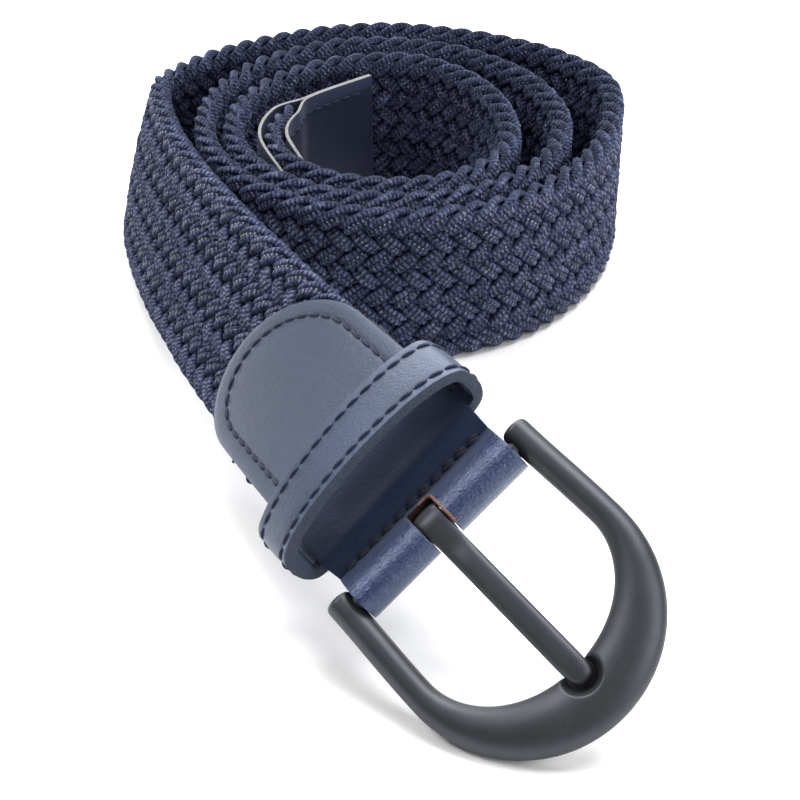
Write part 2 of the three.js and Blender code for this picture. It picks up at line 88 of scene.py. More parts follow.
def coil_line():
    """The tip's bend, then one quarter turn from each turning point to the next, square to the middle."""
    tip, bend, first = np.array(TIP_END), np.array(TIP_BEND), TURNING_POINTS[0]
    parts = [bezier(tip, tip + (bend - tip) * 2 / 3, first + (bend - first) * 2 / 3, first, 24)]
    bulges = [ROUND_TURN] * (len(TURNING_POINTS) - 3) + LAST_TURNS
    for i, (first_bulge, last_bulge) in enumerate(bulges):
        start, end = TURNING_POINTS[i], TURNING_POINTS[i + 1]
        first_way = np.array((0, 1)) if i % 2 == 0 else np.array((1, 0))
        leaving = start + first_bulge * (end - start) * first_way
        arriving = end - last_bulge * (end - start) * (1 - first_way)
        parts.append(bezier(start, leaving, arriving, end, TURN_POINTS))
    plan = np.concatenate(parts)
    return np.column_stack([plan, np.full(len(plan), STRAP_WIDTH / 2)])


def run_out_line():
    """One cubic curve from the last turning point, heading straight out, to the crossbar."""
    start = np.array((*TURNING_POINTS[-1], STRAP_WIDTH / 2))
    level = np.cos(BAR_RISE)
    heading = np.array((np.cos(BAR_HEADING) * level, np.sin(BAR_HEADING) * level, np.sin(BAR_RISE)))
    first = start - np.array((0, RUN_OUT_START_PULL, 0))
    second = BAR_CENTRE - heading * RUN_OUT_END_PULL
    return np.vstack([bezier(start, first, second, BAR_CENTRE, 160), BAR_CENTRE])


def measured(points):
    """Lengths along lines of points, each from its own start."""
    steps = np.diff(points, axis=-2, prepend=points[..., :1, :])
    return np.cumsum(np.linalg.norm(steps, axis=-1), axis=-1)


COIL = coil_line()
LINE = np.vstack([COIL, run_out_line()])
LENGTHS = measured(LINE)
DIRECTIONS = np.gradient(LINE, LENGTHS, axis=0)
BAR_AT = LENGTHS[-1]
LEAN_FROM = LENGTHS[len(COIL) - TURN_POINTS]
print(f"strap from tip to crossbar: {BAR_AT:.1f} mm, it leans from {LEAN_FROM:.1f} mm on")

# %% [markdown]
# ## Places on the strap and on the buckle
# A place on the strap is given by three numbers: the length from the tip, how far across, and how
# far out of its face. The strap's own axes turn those into a point. The buckle has axes of its own,
# hinged on the crossbar. Last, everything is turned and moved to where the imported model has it.

# %% Axes of the strap, and the move into the frame
TURN = -np.pi / 2 - BAR_HEADING
TURNED = np.array([
    (np.cos(TURN), -np.sin(TURN), 0),
    (np.sin(TURN), np.cos(TURN), 0),
    (0, 0, 1),
])


def unit(v):
    """Vectors divided by their own length."""
    return v / np.linalg.norm(v, axis=-1, keepdims=True)


def read(table, lengths, at):
    """A table along a line, read at other lengths by straight interpolation."""
    return np.stack([np.interp(at, lengths, column) for column in table.T], axis=-1)


HUMP = 12.2  # makes the largest value of x (1 - x)^4 one


def strap_axes(s):
    """Point, along, across and out at the lengths s. Across leans from upright to nearly level."""
    along = unit(read(DIRECTIONS, LENGTHS, s))
    point = read(LINE, LENGTHS, s) + along * np.maximum(s - BAR_AT, 0)[..., None]
    gone = np.clip((s - LEAN_FROM) / (BAR_AT - LEAN_FROM), 0, 1)
    share = gone**LEAN_POWER + LEAN_EARLY * HUMP * gone * (1 - gone) ** 4
    lean = (LEAN_AT_COIL + (LEAN_AT_BAR - LEAN_AT_COIL) * share)[..., None]
    level = unit(np.stack([-along[..., 1], along[..., 0], np.zeros_like(s)], axis=-1))
    upright = np.cross(along, level)
    across = level * np.cos(lean) + upright * np.sin(lean)
    out = upright * np.cos(lean) - level * np.sin(lean)
    return point, along, across, out


def on_strap(s, across, above):
    """Places in millimetres of the drawing: point + across * its axis + above * the outward axis."""
    s, across, above = np.broadcast_arrays(np.asarray(s, float), across, above)
    point, _, side, out = strap_axes(s)
    return point + side * across[..., None] + out * above[..., None]


def drawing_shift():
    """What moves the turned drawing onto the frame: both have the same right, back and lowest places."""
    s = np.arange(WEBBING_START, WEBBING_END + 0.1, 0.5)[:, None]
    corners = np.array([(x, y) for w, h in WEBBING_CORNERS for x in (w, -w) for y in (h, -h)])
    outline = (on_strap(s, corners[:, 0], corners[:, 1]) @ TURNED.T).reshape(-1, 3) * MM
    low, high = (np.array(v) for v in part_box("webbing"))
    shift = high - outline.max(0)
    shift[2] = low[2] - outline[:, 2].min()
    return shift


TIP_LENGTH = 62
TAB_LENGTH = 67.1
WEBBING_START = 25
WEBBING_END = BAR_AT - 24.6
WEBBING_CORNERS = ((17.5, 1.3), (16.3, 2.5))  # half width and half thickness on a quarter of its outline
SHIFT = drawing_shift()


def in_frame(points):
    """Drawing millimetres to frame metres: turn about Z, then shift."""
    return points @ TURNED.T * MM + SHIFT


def strap(s, across, above):
    """A place on the strap, in metres in the frame."""
    return in_frame(on_strap(s, across, above))


FRAME_DROP = np.radians(20.4)
BAR_POINT, BAR_ALONG, BAR_ACROSS, BAR_OUT = strap_axes(np.array(BAR_AT))
BUCKLE_AHEAD = BAR_ALONG * np.cos(FRAME_DROP) - BAR_OUT * np.sin(FRAME_DROP)
BUCKLE_UP = BAR_OUT * np.cos(FRAME_DROP) + BAR_ALONG * np.sin(FRAME_DROP)


def on_buckle(ahead, across, above):
    """A place on the buckle: ahead of the crossbar, across, and above the frame's own plane."""
    place = np.stack(np.broadcast_arrays(np.asarray(ahead, float), across, above), axis=-1)
    return in_frame(BAR_POINT + place @ np.stack([BUCKLE_AHEAD, BAR_ACROSS, BUCKLE_UP]))


print("drawing moved by", SHIFT.round(5).tolist(), "m; crossbar at", in_frame(BAR_POINT).round(4).tolist())

# %% [markdown]
# ## Camera
# The picture was taken with a long lens from about 20 cm above the table, looking 34 degrees down.
# A lens of 81 mm on a 36 mm sensor sees an 800 pixel wide picture with a focal length of 1800 pixels.

# %% Camera
CAMERA_HEIGHT = 203
CAMERA_DOWN = np.radians(34)
camera = bpy.data.objects.new("camera", bpy.data.cameras.new("camera"))
bpy.context.collection.objects.link(camera)
camera.location = in_frame(np.array((0, 0, CAMERA_HEIGHT)))
camera.rotation_euler = (np.pi / 2 - CAMERA_DOWN, 0, TURN)
camera.data.sensor_width = 36
camera.data.lens = 81
camera.data.clip_start = 0.01
bpy.context.scene.camera = camera
print("camera at", [round(v, 4) for v in camera.location])

# %% [markdown]
# ## Table and light
# The photograph is a plain white studio shot. The floor is pale and matt. A soft lamp low on the left
# hangs where the sloping leather mirrors it to the camera, and a small one above it does the same for
# the fold. Another lights the roll from behind, two weaker ones fill, and the sky is an even white.

# %% Floor, lamps and sky
FLOOR_SIZE = 3
bpy.ops.mesh.primitive_plane_add(size=FLOOR_SIZE, location=(0, 0, 0))
floor = bpy.context.object
floor.name = "floor"
floor_material = bpy.data.materials.new("floor_white")
floor_material.use_nodes = True
floor_shader = floor_material.node_tree.nodes["Principled BSDF"]
floor_shader.inputs["Base Color"].default_value = (0.93, 0.93, 0.935, 1)
floor_shader.inputs["Roughness"].default_value = 0.7
floor.data.materials.append(floor_material)

LAMPS = {
    "lamp_left": {"place": (-790, 580, 370), "size": 0.65, "watts": 1.0},
    "lamp_high": {"place": (-590, 284, 699), "size": 0.3, "watts": 3.4},
    "lamp_back": {"place": (-60, 800, 520), "size": 0.85, "watts": 11.0},
    "lamp_over": {"place": (240, 400, 640), "size": 0.5, "watts": 4.6},
    "lamp_right": {"place": (460, -60, 360), "size": 0.5, "watts": 2.6},
}
ROLL_CENTRE = np.array((0, 350, 15))
for name, lamp in LAMPS.items():
    light = bpy.data.objects.new(name, bpy.data.lights.new(name, "AREA"))
    bpy.context.collection.objects.link(light)
    light.data.shape = "DISK"
    light.data.size = lamp["size"]
    light.data.energy = lamp["watts"]
    here, there = in_frame(np.array(lamp["place"], float)), in_frame(ROLL_CENTRE)
    light.location = here
    light.rotation_euler = Vector(there - here).to_track_quat("-Z", "Y").to_euler()

sky = bpy.data.worlds.new("sky")
sky.use_nodes = True
sky.node_tree.nodes["Background"].inputs["Color"].default_value = (1, 1, 1, 1)
sky.node_tree.nodes["Background"].inputs["Strength"].default_value = 0.21
bpy.context.scene.world = sky
bpy.context.scene.view_settings.view_transform = "Standard"
print("lamps:", ", ".join(LAMPS))

# %% [markdown]
# ## From arrays to meshes
# A shape here is an array of points worked out all at once. Two kinds are enough: tubes, which are
# rings of points joined into skins and closed at both ends, and sheets of leather, which are grids
# that get their thickness from a Solidify modifier.

# %% Mesh helpers
WIDE_CORNER = 0.5  # a rounding wider than this gets one segment more


def add_object(name, points, faces, corners, materials, face_slots=None):
    """One smooth mesh. faces are arrays of 4 or 3 corner numbers; corners are their UV places."""
    mesh = bpy.data.meshes.new(name)
    loops = np.concatenate([f.ravel() for f in faces])
    totals = np.concatenate([np.full(len(f), f.shape[1]) for f in faces])
    mesh.vertices.add(len(points))
    mesh.vertices.foreach_set("co", points.ravel().astype(np.float32))
    mesh.loops.add(len(loops))
    mesh.loops.foreach_set("vertex_index", loops.astype(np.int32))
    mesh.polygons.add(len(totals))
    mesh.polygons.foreach_set("loop_start", np.concatenate([[0], np.cumsum(totals)[:-1]]).astype(np.int32))
    mesh.polygons.foreach_set("use_smooth", np.ones(len(totals), bool))
    if face_slots is not None:
        mesh.polygons.foreach_set("material_index", face_slots.astype(np.int32))
    mesh.update(calc_edges=True)
    layer = mesh.uv_layers.new(name="UVMap")
    layer.data.foreach_set("uv", np.concatenate([c.reshape(-1) for c in corners]).astype(np.float32))
    for material in materials:
        mesh.materials.append(material)
    made = bpy.data.objects.new(name, mesh)
    bpy.context.collection.objects.link(made)
    return made


def signed_volume(points, quads):
    """Six times the volume: the sum over faces of corner . (corner x corner)."""
    a, b, c, d = (points[quads[:, i]] for i in range(4))
    return np.sum(a * np.cross(b, c)) + np.sum(a * np.cross(c, d))


def add_tubes(name, rings, material, lengths=None):
    """Closed tubes from rings[tube, ring, side]. UV is the length along, and the share around."""
    tubes, count, sides = rings.shape[:3]
    if lengths is None:
        lengths = np.arange(count, dtype=float)
    ring_length = np.broadcast_to(lengths, (tubes, count)).ravel()
    number = np.arange(tubes * count * sides).reshape(tubes, count, sides)
    after = np.roll(number, -1, axis=2)
    quads = np.stack([number[:, :-1], after[:, :-1], after[:, 1:], number[:, 1:]], axis=-1).reshape(-1, 4)
    share_round = (quads[:, :1] % sides + np.array((0, 1, 1, 0))) / sides
    quad_uv = np.stack([ring_length[quads // sides], share_round], axis=-1)
    middles = rings[:, [0, -1]].mean(axis=2).reshape(-1, 3)
    middle = number.size + 2 * np.repeat(np.arange(tubes), sides)
    start = np.column_stack([middle, after[:, 0].ravel(), number[:, 0].ravel()])
    end = np.column_stack([middle + 1, number[:, -1].ravel(), after[:, -1].ravel()])
    tris = np.concatenate([start, end])
    cap_uv = np.zeros((len(tris), 3, 2))
    cap_uv[..., 0] = ring_length[tris[:, 1:2] // sides]
    points = np.concatenate([rings.reshape(-1, 3), middles])
    if signed_volume(points, quads) < 0:
        quads, tris, quad_uv = quads[:, ::-1], tris[:, ::-1], quad_uv[:, ::-1]
    return add_object(name, points, [quads, tris], [quad_uv, cap_uv], [material])


def add_leather(name, places, length, edge, materials, thickness, corner, hole=None, slots=None):
    """A sheet of places[row, column], made solid with rounded edges and the next material on its rim.

    hole marks the cells that are left out, and slots says which material each cell has.
    """
    number = np.arange(length.size).reshape(length.shape)
    cells = np.stack([number[:-1, :-1], number[:-1, 1:], number[1:, 1:], number[1:, :-1]], axis=-1)
    kept = np.ones(cells.shape[:2], bool) if hole is None else ~hole
    quads = cells[kept]
    uv = np.stack([length, edge], axis=-1).reshape(-1, 2)[quads]
    piece = add_object(name, places.reshape(-1, 3), [quads], [uv], materials,
                       None if slots is None else slots[kept])
    solid = piece.modifiers.new("thickness", "SOLIDIFY")
    solid.thickness = thickness * MM
    solid.offset = 0
    solid.material_offset_rim = 1
    rounded = piece.modifiers.new("rounded", "BEVEL")
    rounded.width = corner * MM
    rounded.segments = 3 if corner > WIDE_CORNER else 2
    rounded.limit_method = "ANGLE"
    rounded.angle_limit = np.radians(50)
    return piece


def turns(sides, first=0.5):
    """Angles of the corners of a ring."""
    return (np.arange(sides) + first) / sides * 2 * np.pi


def around(centres, side, up, half_side, half_up, sides, power=2.0):
    """Rings round centres: a rounded box when power is over 2, and an ellipse when it is 2."""
    c, s = np.cos(turns(sides)), np.sin(turns(sides))
    x = np.sign(c) * np.abs(c) ** (2 / power)
    y = np.sign(s) * np.abs(s) ** (2 / power)
    return (
        centres[..., None, :]
        + side[..., None, :] * (half_side[..., None] * x)[..., None]
        + up[..., None, :] * (half_up[..., None] * y)[..., None]
    )


def square_to(centre, outward):
    """The directions beside and up of lines of places, with outward as their rough up."""
    forward = unit(np.gradient(centre, axis=1))
    beside = unit(np.cross(forward, outward))
    return beside, np.cross(beside, forward)


def smooth_step(low, high, value):
    """0 below low, 1 above high, and 3x^2 - 2x^3 between."""
    x = np.clip((value - low) / (high - low), 0, 1)
    return x * x * (3 - 2 * x)


def bell(distance, width):
    """1 at no distance and falling off to both sides: exp(-(distance / width)^2)."""
    return np.exp(-((distance / width) ** 2))


# %% [markdown]
# ## Material helpers
# Every finish is a Principled shader fed by a few textures. Each helper below adds one node and
# links it to what it is given, in whatever material that belongs to, so a finish reads as a list.

# %% Node helpers


def new_finish(name, roughness, **values):
    """A node material and its shader. Values go straight onto the shader's own sockets."""
    material = bpy.data.materials.new(name)
    material.use_nodes = True
    shader = material.node_tree.nodes["Principled BSDF"]
    shader.inputs["Roughness"].default_value = roughness
    for socket, value in values.items():
        shader.inputs[socket.replace("_", " ")].default_value = value
    return material, shader


def add_node(kind, links, settings=None, **values):
    """A node with its inputs linked from other sockets and set by name."""
    tree = next(iter(links.values())).id_data
    node = tree.nodes.new(kind)
    for key, value in (settings or {}).items():
        setattr(node, key, value)
    for key, value in values.items():
        node.inputs[key.replace("_", " ")].default_value = value
    for key, socket in links.items():
        tree.links.new(socket, node.inputs[key])
    return node


def calc(operation, *inputs):
    """A Math node on a socket and more inputs, each a socket or a number."""
    tree = inputs[0].id_data
    node = tree.nodes.new("ShaderNodeMath")
    node.operation = operation
    for slot, value in zip(node.inputs, inputs):
        if isinstance(value, (int, float)):
            slot.default_value = value
        else:
            tree.links.new(value, slot)
    return node.outputs[0]


def weighted(start, *terms):
    """A number or socket, plus the sum of other sockets, each times its own weight."""
    total = start
    for socket, weight in terms:
        total = calc("MULTIPLY_ADD", socket, weight, total)
    return total


def ramp(factor, stops):
    """A colour ramp: stops are (place, colour)."""
    node = add_node("ShaderNodeValToRGB", {"Fac": factor})
    while len(node.color_ramp.elements) < len(stops):
        node.color_ramp.elements.new(0.5)
    for element, (place, colour) in zip(node.color_ramp.elements, stops):
        element.position = place
        element.color = (*colour, 1)
    return node.outputs["Color"]


def noise(vector, scale, detail=2.0, roughness=0.5):
    """Noise texture at the given scale, as a factor."""
    node = add_node("ShaderNodeTexNoise", {"Vector": vector}, Scale=scale, Detail=detail, Roughness=roughness)
    return node.outputs["Fac"]


def dress(shader, colour, height, distance):
    """Feeds the colour, and the bumps of the given height in metres, to the shader."""
    bumps = add_node("ShaderNodeBump", {"Height": height}, Distance=distance)
    shader.id_data.links.new(bumps.outputs["Normal"], shader.inputs["Normal"])
    shader.id_data.links.new(colour, shader.inputs["Base Color"])


def own_map(shader):
    """The two numbers of the UV map."""
    uv = shader.id_data.nodes.new("ShaderNodeTexCoord").outputs["UV"]
    parts = add_node("ShaderNodeSeparateXYZ", {"Vector": uv}).outputs
    return parts["X"], parts["Y"]


def object_coordinates(shader):
    """The piece's own coordinates, in metres."""
    return shader.id_data.nodes.new("ShaderNodeTexCoord").outputs["Object"]


# %% [markdown]
# ## Cord finish
# Each cord is an elastic core in a tight braided sleeve of dyed polyester. Its sleeve shows as ridges
# that wind round the cord, crossed by weaker ones the other way. Two sine waves of the length and the
# angle, added with unequal weights, give just that. The cord's UV map holds the length in millimetres
# and the share round it, so shade is painted on its sides and light on its top and underside. The
# crease between the two cords of a strand is closed by a fine seam of short glossy stitches, coloured
# as a row of painted glints with painted shade between them, brighter near the upper edge.

# %% Cord finish
SLEEVE_PITCH = 0.85
TUFT_WANDER = 3.4  # how far, as an angle, the tufts push a ridge off its line
CORD_SHADE = -0.325  # lowers the sum of the textures below to the middle of the ramp
DASH_PITCH = 1.06
GLINT_BRIGHTENS_AT = (0.018, 0.030)  # heights in metres between which the painted glints grow brighter
cord_finish, shader = new_finish("braided_cord", 0.8, Specular_IOR_Level=0.15, Sheen_Weight=0.06,
                                       Sheen_Roughness=0.45, Sheen_Tint=(0.50, 0.62, 0.95, 1))
length, share = own_map(shader)
winding = calc("MULTIPLY", length, 2 * np.pi / SLEEVE_PITCH)
place = object_coordinates(shader)
fibres = noise(place, 4600.0, 3.0, 0.65)
tufts = noise(place, 1100.0, 2.0, 0.6)
wear = noise(place, 260.0)
one_way = calc("SINE", weighted(winding, (share, 2 * np.pi), (tufts, TUFT_WANDER)))
other_way = calc("SINE", weighted(winding, (share, -4 * np.pi)))
ridges = weighted(0.0, (one_way, 0.17), (other_way, 0.11))
# painted shade: a cord's sides are darker and its top and underside lighter
painted_side_shade = calc("COSINE", calc("MULTIPLY", share, 4 * np.pi))
shade = weighted(CORD_SHADE, (ridges, 0.45), (fibres, 0.52), (tufts, 0.75), (wear, 0.35), (painted_side_shade, -0.1))
colour = ramp(shade, [
    (0.28, (0.001, 0.002, 0.006)),
    (0.45, (0.012, 0.016, 0.042)),
    (0.64, (0.050, 0.060, 0.120)),
    (0.82, (0.155, 0.172, 0.255)),
])
dress(shader, colour, weighted(ridges, (fibres, 0.6)), 0.0003)

# Painted light: the bright stops of this ramp are painted glints, and the dark ones are painted crease shade
glint_dash_finish, shader = new_finish("crease_stitches_painted_glints", 0.45, Specular_IOR_Level=0.5)
waves = calc("SINE", calc("MULTIPLY", own_map(shader)[0], 2 * np.pi / DASH_PITCH))
place = object_coordinates(shader)
height = add_node("ShaderNodeSeparateXYZ", {"Vector": place}).outputs["Z"]
# painted light: the glints get brighter with height, towards the coil's upper edge
opened = add_node("ShaderNodeMapRange", {"Value": height},
                  From_Min=GLINT_BRIGHTENS_AT[0], From_Max=GLINT_BRIGHTENS_AT[1], To_Min=0.75, To_Max=1.2)
strength = calc("MULTIPLY", noise(place, 300.0), opened.outputs["Result"])
glint_pattern = calc("MULTIPLY", calc("ADD", waves, 0.25), strength)
colour = ramp(glint_pattern, [
    (0.22, (0.003, 0.004, 0.012)),
    (0.48, (0.050, 0.058, 0.115)),
    (0.74, (0.270, 0.300, 0.420)),
])
dress(shader, colour, glint_pattern, 0.0002)
print("finishes:", cord_finish.name, glint_dash_finish.name)

# %% [markdown]
# ## The braid
# A flat braid of 17 strands, two over and two under, and each strand is two cords side by side.
# A strand runs to one edge on the outer face, folds round it and runs back on the inner face.
# Measured in crossings, one way across is 17 steps, so a full round trip is 34. All strands have the
# same path, each two steps further on. Modelling the cords themselves, instead of a bumpy sheet,
# gives the true looped edges and the gaps that light falls into.

# %% Paths of the cords
STRANDS = 17
PITCH = 5.0  # along the strap, between one strand and the next
CORD_SPREAD = 0.76  # half the distance between the two cords of a strand
CORD_HALF_WIDTH = 0.88
CORD_HALF_HEIGHT = 0.98
WEAVE_HEIGHT = 1.42  # how far a strand swings out of the middle
SQUEEZED_HEIGHT = 1.08
PRESSED_BEYOND = (1, 7)  # from the leather to where the braid is still thin, and to where it is free
CORD_STEP = 0.72
CORD_SIDES = 8
EDGE_SOFTNESS = 0.985
EDGE_DIP = 0.95  # half the length, in crossings, in which a strand goes down at an edge
CROSSING_DIP = 0.8  # and the same between two crossings
HEIGHT_SPREAD = 0.04  # random, for each ring
UNEVEN = 0.05  # how far cords wander sideways, and the share by which they swell
SEAM_RADIUS = 0.3
SEAM_LIFT = 0.56  # from the middle of a strand to the seam in its crease
SEAM_SIDES = 5
REACH = STRAP_WIDTH / 2 - CORD_SPREAD - CORD_HALF_WIDTH
BOW = 0.8  # where the strap leaves the roll its middle stands out between its edges
BOW_AT = LENGTHS[len(COIL)]
BOW_LENGTH = 26


def across_wave(q):
    """A rounded zigzag between the edges: arcsin(k sin x) / arcsin(k), with k just under 1."""
    wave = np.arcsin(EDGE_SOFTNESS * np.sin(np.pi * (q - STRANDS / 2) / STRANDS))
    return REACH * wave / np.arcsin(EDGE_SOFTNESS)


def over_and_under(q):
    """+1 outside and -1 inside: down at each edge, then up and down every two crossings."""
    x = np.mod(q, STRANDS)
    level = 1 - 2 * smooth_step(-EDGE_DIP, EDGE_DIP, x)
    for i, change in enumerate(np.arange(2.5, STRANDS - 1, 2)):
        step = smooth_step(change - CROSSING_DIP, change + CROSSING_DIP, x)
        level = level + (2 if i % 2 == 0 else -2) * step
    return level - 2 * smooth_step(STRANDS - EDGE_DIP, STRANDS + EDGE_DIP, x)


def squeeze(s):
    """1 where the leather presses the braid thinner, 0 where it is free."""
    near, far = PRESSED_BEYOND
    at_tip = smooth_step(far, near, s - TIP_LENGTH)
    at_bar = smooth_step(far, near, BAR_AT - TAB_LENGTH - s)
    return np.maximum(at_tip, at_bar)


def cord_rings():
    """Rings of all cords as [cord, ring, side, xyz], each ring's length, and the same for the seams.

    A seam lies in the crease of its strand, on the side that the strand shows: its height above the
    strand's middle follows the strand's own height and changes sign with it.
    """
    rng = np.random.default_rng(17)
    s = np.arange(WEBBING_START + 1.5, WEBBING_END - 1.5, CORD_STEP)
    strand = np.arange(STRANDS)[:, None]
    q = 2 * s / PITCH + 2 * strand
    t = across_wave(q)
    slope = np.gradient(t, s, axis=1)
    lean = 1 / np.sqrt(1 + slope**2)
    height = over_and_under(q) * (WEAVE_HEIGHT + (SQUEEZED_HEIGHT - WEAVE_HEIGHT) * squeeze(s))
    braid_height = height + rng.normal(0, HEIGHT_SPREAD, t.shape)
    height = braid_height + BOW * bell(s - BOW_AT, BOW_LENGTH) * (1 - (t / REACH) ** 2)
    centres, faces_out = [], []
    for side in (-1, 1):
        where = s - side * CORD_SPREAD * slope * lean
        beside = t + side * CORD_SPREAD * lean
        jitter = UNEVEN * np.sin(s / 7.3 + strand * 1.7 + side)
        centres.append(on_strap(where, beside + jitter, height))
        faces_out.append(strap_axes(where)[3])
    centres, out = np.concatenate(centres), np.concatenate(faces_out)
    beside, up = square_to(centres, out)
    plump = 1 + UNEVEN * np.sin(np.arange(len(centres))[:, None] * 2.1 + s / 11)
    cords = around(centres, beside, up, CORD_HALF_WIDTH * plump, CORD_HALF_HEIGHT * plump, CORD_SIDES)
    lift = SEAM_LIFT * np.clip(braid_height / 0.6, -1, 1)
    seam = on_strap(np.broadcast_to(s, t.shape), t, height + lift)
    radius = np.full(t.shape, SEAM_RADIUS)
    seams = around(seam, beside[:STRANDS], up[:STRANDS], radius, radius, SEAM_SIDES)
    return in_frame(cords), measured(centres), in_frame(seams), measured(seam)


rings, cord_lengths, seam_rings, seam_lengths = cord_rings()
braid = []
for word, shapes, gone, finish, groups in (("cords", rings, cord_lengths, cord_finish, "abcd"),
                                           ("seams", seam_rings, seam_lengths, glint_dash_finish, "ab")):
    for letter, group in zip(groups, np.array_split(np.arange(len(shapes)), len(groups))):
        braid.append(add_tubes(f"braid_{word}_{letter}", shapes[group], finish, gone[group]))
for piece in braid:
    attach(piece, "strap")
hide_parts("webbing")
print(f"cords: {len(rings)}, {cord_lengths[:, -1].sum() / 1000:.1f} m in all")

# %% [markdown]
# ## Leather finish
# The leather is smooth and slightly waxed: fine pores, a satin shine and a little cloudiness in the
# dye. Where it bends round the crossbar the grain opens, the dye shows bluer, and fine creases run
# across the strap. The UV map of a leather piece holds the length along it and the distance from its
# edge, both in millimetres, so the finish can tell the bent part and the margin from the rest.

# %% Leather, cut edge and thread finishes
BENT_PART = 7.0  # the leather is bent this far to both sides of the fold's middle
BENT_GLOSSIER = 0.24  # how much less rough it is there, where it is stretched
SEWN_FROM = 26  # from here on its edges are sewn and show a margin
TWIST_PITCH = 0.8  # of a thread, in rings
STITCH_RINGS = 7
# painted shade on a stitch's ends, where it goes into its hole
HOLE_SHADE = (0.001, 0.001, 0.003)


def mixed(factor, first, second):
    """The first colour where the factor is 0 and the second where it is 1."""
    node = add_node("ShaderNodeMix", {0: factor}, {"data_type": "RGBA"})
    for place, colour in ((6, first), (7, second)):
        if isinstance(colour, tuple):
            node.inputs[place].default_value = (*colour, 1)
        else:
            node.id_data.links.new(colour, node.inputs[place])
    return node.outputs[2]


def between(value, low, high):
    """0 at low and 1 at high, smoothly. Low may be the larger one."""
    node = add_node("ShaderNodeMapRange", {"Value": value}, {"interpolation_type": "SMOOTHSTEP"},
                    From_Min=low, From_Max=high)
    return node.outputs["Result"]


def across_grain(length, edge, fine, long):
    """Noise drawn out across the strap: fine and long are its frequencies per millimetre."""
    stretched = add_node("ShaderNodeCombineXYZ", {
        "X": calc("MULTIPLY", length, fine), "Y": calc("MULTIPLY", edge, long),
    })
    return noise(stretched.outputs[0], 1.0, 3.0, 0.65)


def leather_finish(name, dark, light, margin, bent=None, roughness=0.42, specular=1.0):
    """Leather between two shades, its margin shade, and the shade where it is bent, if it is."""
    material, shader = new_finish(name, roughness, Specular_IOR_Level=specular, Sheen_Weight=0.05,
                                        Specular_Tint=(0.74, 0.84, 1, 1), Sheen_Roughness=0.4)
    length, edge = own_map(shader)
    place = object_coordinates(shader)
    clouds = noise(place, 75.0, 3.0, 0.6)
    pores = noise(place, 2600.0, 2.0, 0.6)
    grains = noise(place, 780.0)
    colour = ramp(weighted(0.0, (clouds, 0.6), (pores, 0.4)), [(0.30, dark), (0.70, light)])
    at_margin = calc("MULTIPLY", between(edge, 3.6, 2.4), 0.6)
    height = weighted(0.0, (pores, 0.8), (grains, 0.7))
    if bent is not None:
        from_fold = calc("ABSOLUTE", length)
        at_margin = calc("MULTIPLY", at_margin, between(from_fold, SEWN_FROM, SEWN_FROM + 2))
        share = between(from_fold, BENT_PART + 2.0, BENT_PART - 2.0)
        opened = noise(place, 900.0, 3.0, 0.7)
        grain = weighted(0.0, (across_grain(length, edge, 4.0, 1.5), 0.6), (opened, 0.4))
        creased = calc("MULTIPLY", across_grain(length, edge, 2.4, 0.09),
                       between(from_fold, 22.0, 9.0))
        height = weighted(height, (calc("MULTIPLY", grain, share), 1.5), (creased, 0.9))
    colour = mixed(at_margin, colour, margin)
    if bent is not None:
        colour = mixed(share, colour, ramp(grain, bent))
        gloss = weighted(roughness, (share, -BENT_GLOSSIER))
        shader.id_data.links.new(gloss, shader.inputs["Roughness"])
    dress(shader, colour, height, 0.00012)
    return material


def cut_edge_finish(name, dark, light, inside=None):
    """A cut edge with the fibres showing; inside is its shade away from the outline, as in a slot."""
    material, shader = new_finish(name, 0.8, Specular_IOR_Level=0.3)
    fibres = noise(object_coordinates(shader), 3200.0, 4.0, 0.7)
    colour = ramp(fibres, [(0.32, dark), (0.68, light)])
    if inside is not None:
        from_outline = between(own_map(shader)[1], 2.0, 5.0)
        colour = mixed(from_outline, colour, ramp(fibres, inside))
    dress(shader, colour, fibres, 0.0001)
    return material


def thread_finish(name, dark, light):
    """Twisted thread: a sine wave winds along it. Its first and last rings are painted dark, as shade in
    their holes.
    """
    material, shader = new_finish(name, 0.65, Specular_IOR_Level=0.25, Sheen_Weight=0.05)
    length, share = own_map(shader)
    plies = calc("SINE", weighted(0.0, (length, 2 * np.pi / TWIST_PITCH), (share, 2 * np.pi)))
    fuzz = noise(object_coordinates(shader), 4000.0, 3.0, 0.6)
    shade = weighted(0.3, (plies, 0.21), (fuzz, 0.4))
    from_middle = calc("ABSOLUTE", calc("SUBTRACT", length, (STITCH_RINGS - 1) / 2))
    colour = ramp(shade, [(0.25, dark), (0.75, light)])
    colour = mixed(between(from_middle, 2.0, 2.9), colour, HOLE_SHADE)
    dress(shader, colour, shade, 0.0001)
    return material


tab_leather = leather_finish(
    "satin_leather", (0.010, 0.016, 0.042), (0.018, 0.027, 0.064), (0.014, 0.021, 0.050),
    bent=[(0.36, (0.009, 0.015, 0.046)), (0.50, (0.019, 0.031, 0.086)), (0.66, (0.050, 0.068, 0.145))])
keeper_leather = leather_finish(
    "keeper_leather", (0.011, 0.019, 0.047), (0.021, 0.033, 0.074), (0.026, 0.039, 0.084),
    roughness=0.47, specular=0.75)
# painted shade: the tip is the same leather as the tab, coloured darker for the shade inside the roll
tip_leather = leather_finish(
    "tip_leather", (0.005, 0.007, 0.018), (0.010, 0.013, 0.032), (0.034, 0.042, 0.084),
    roughness=0.5, specular=0.35)
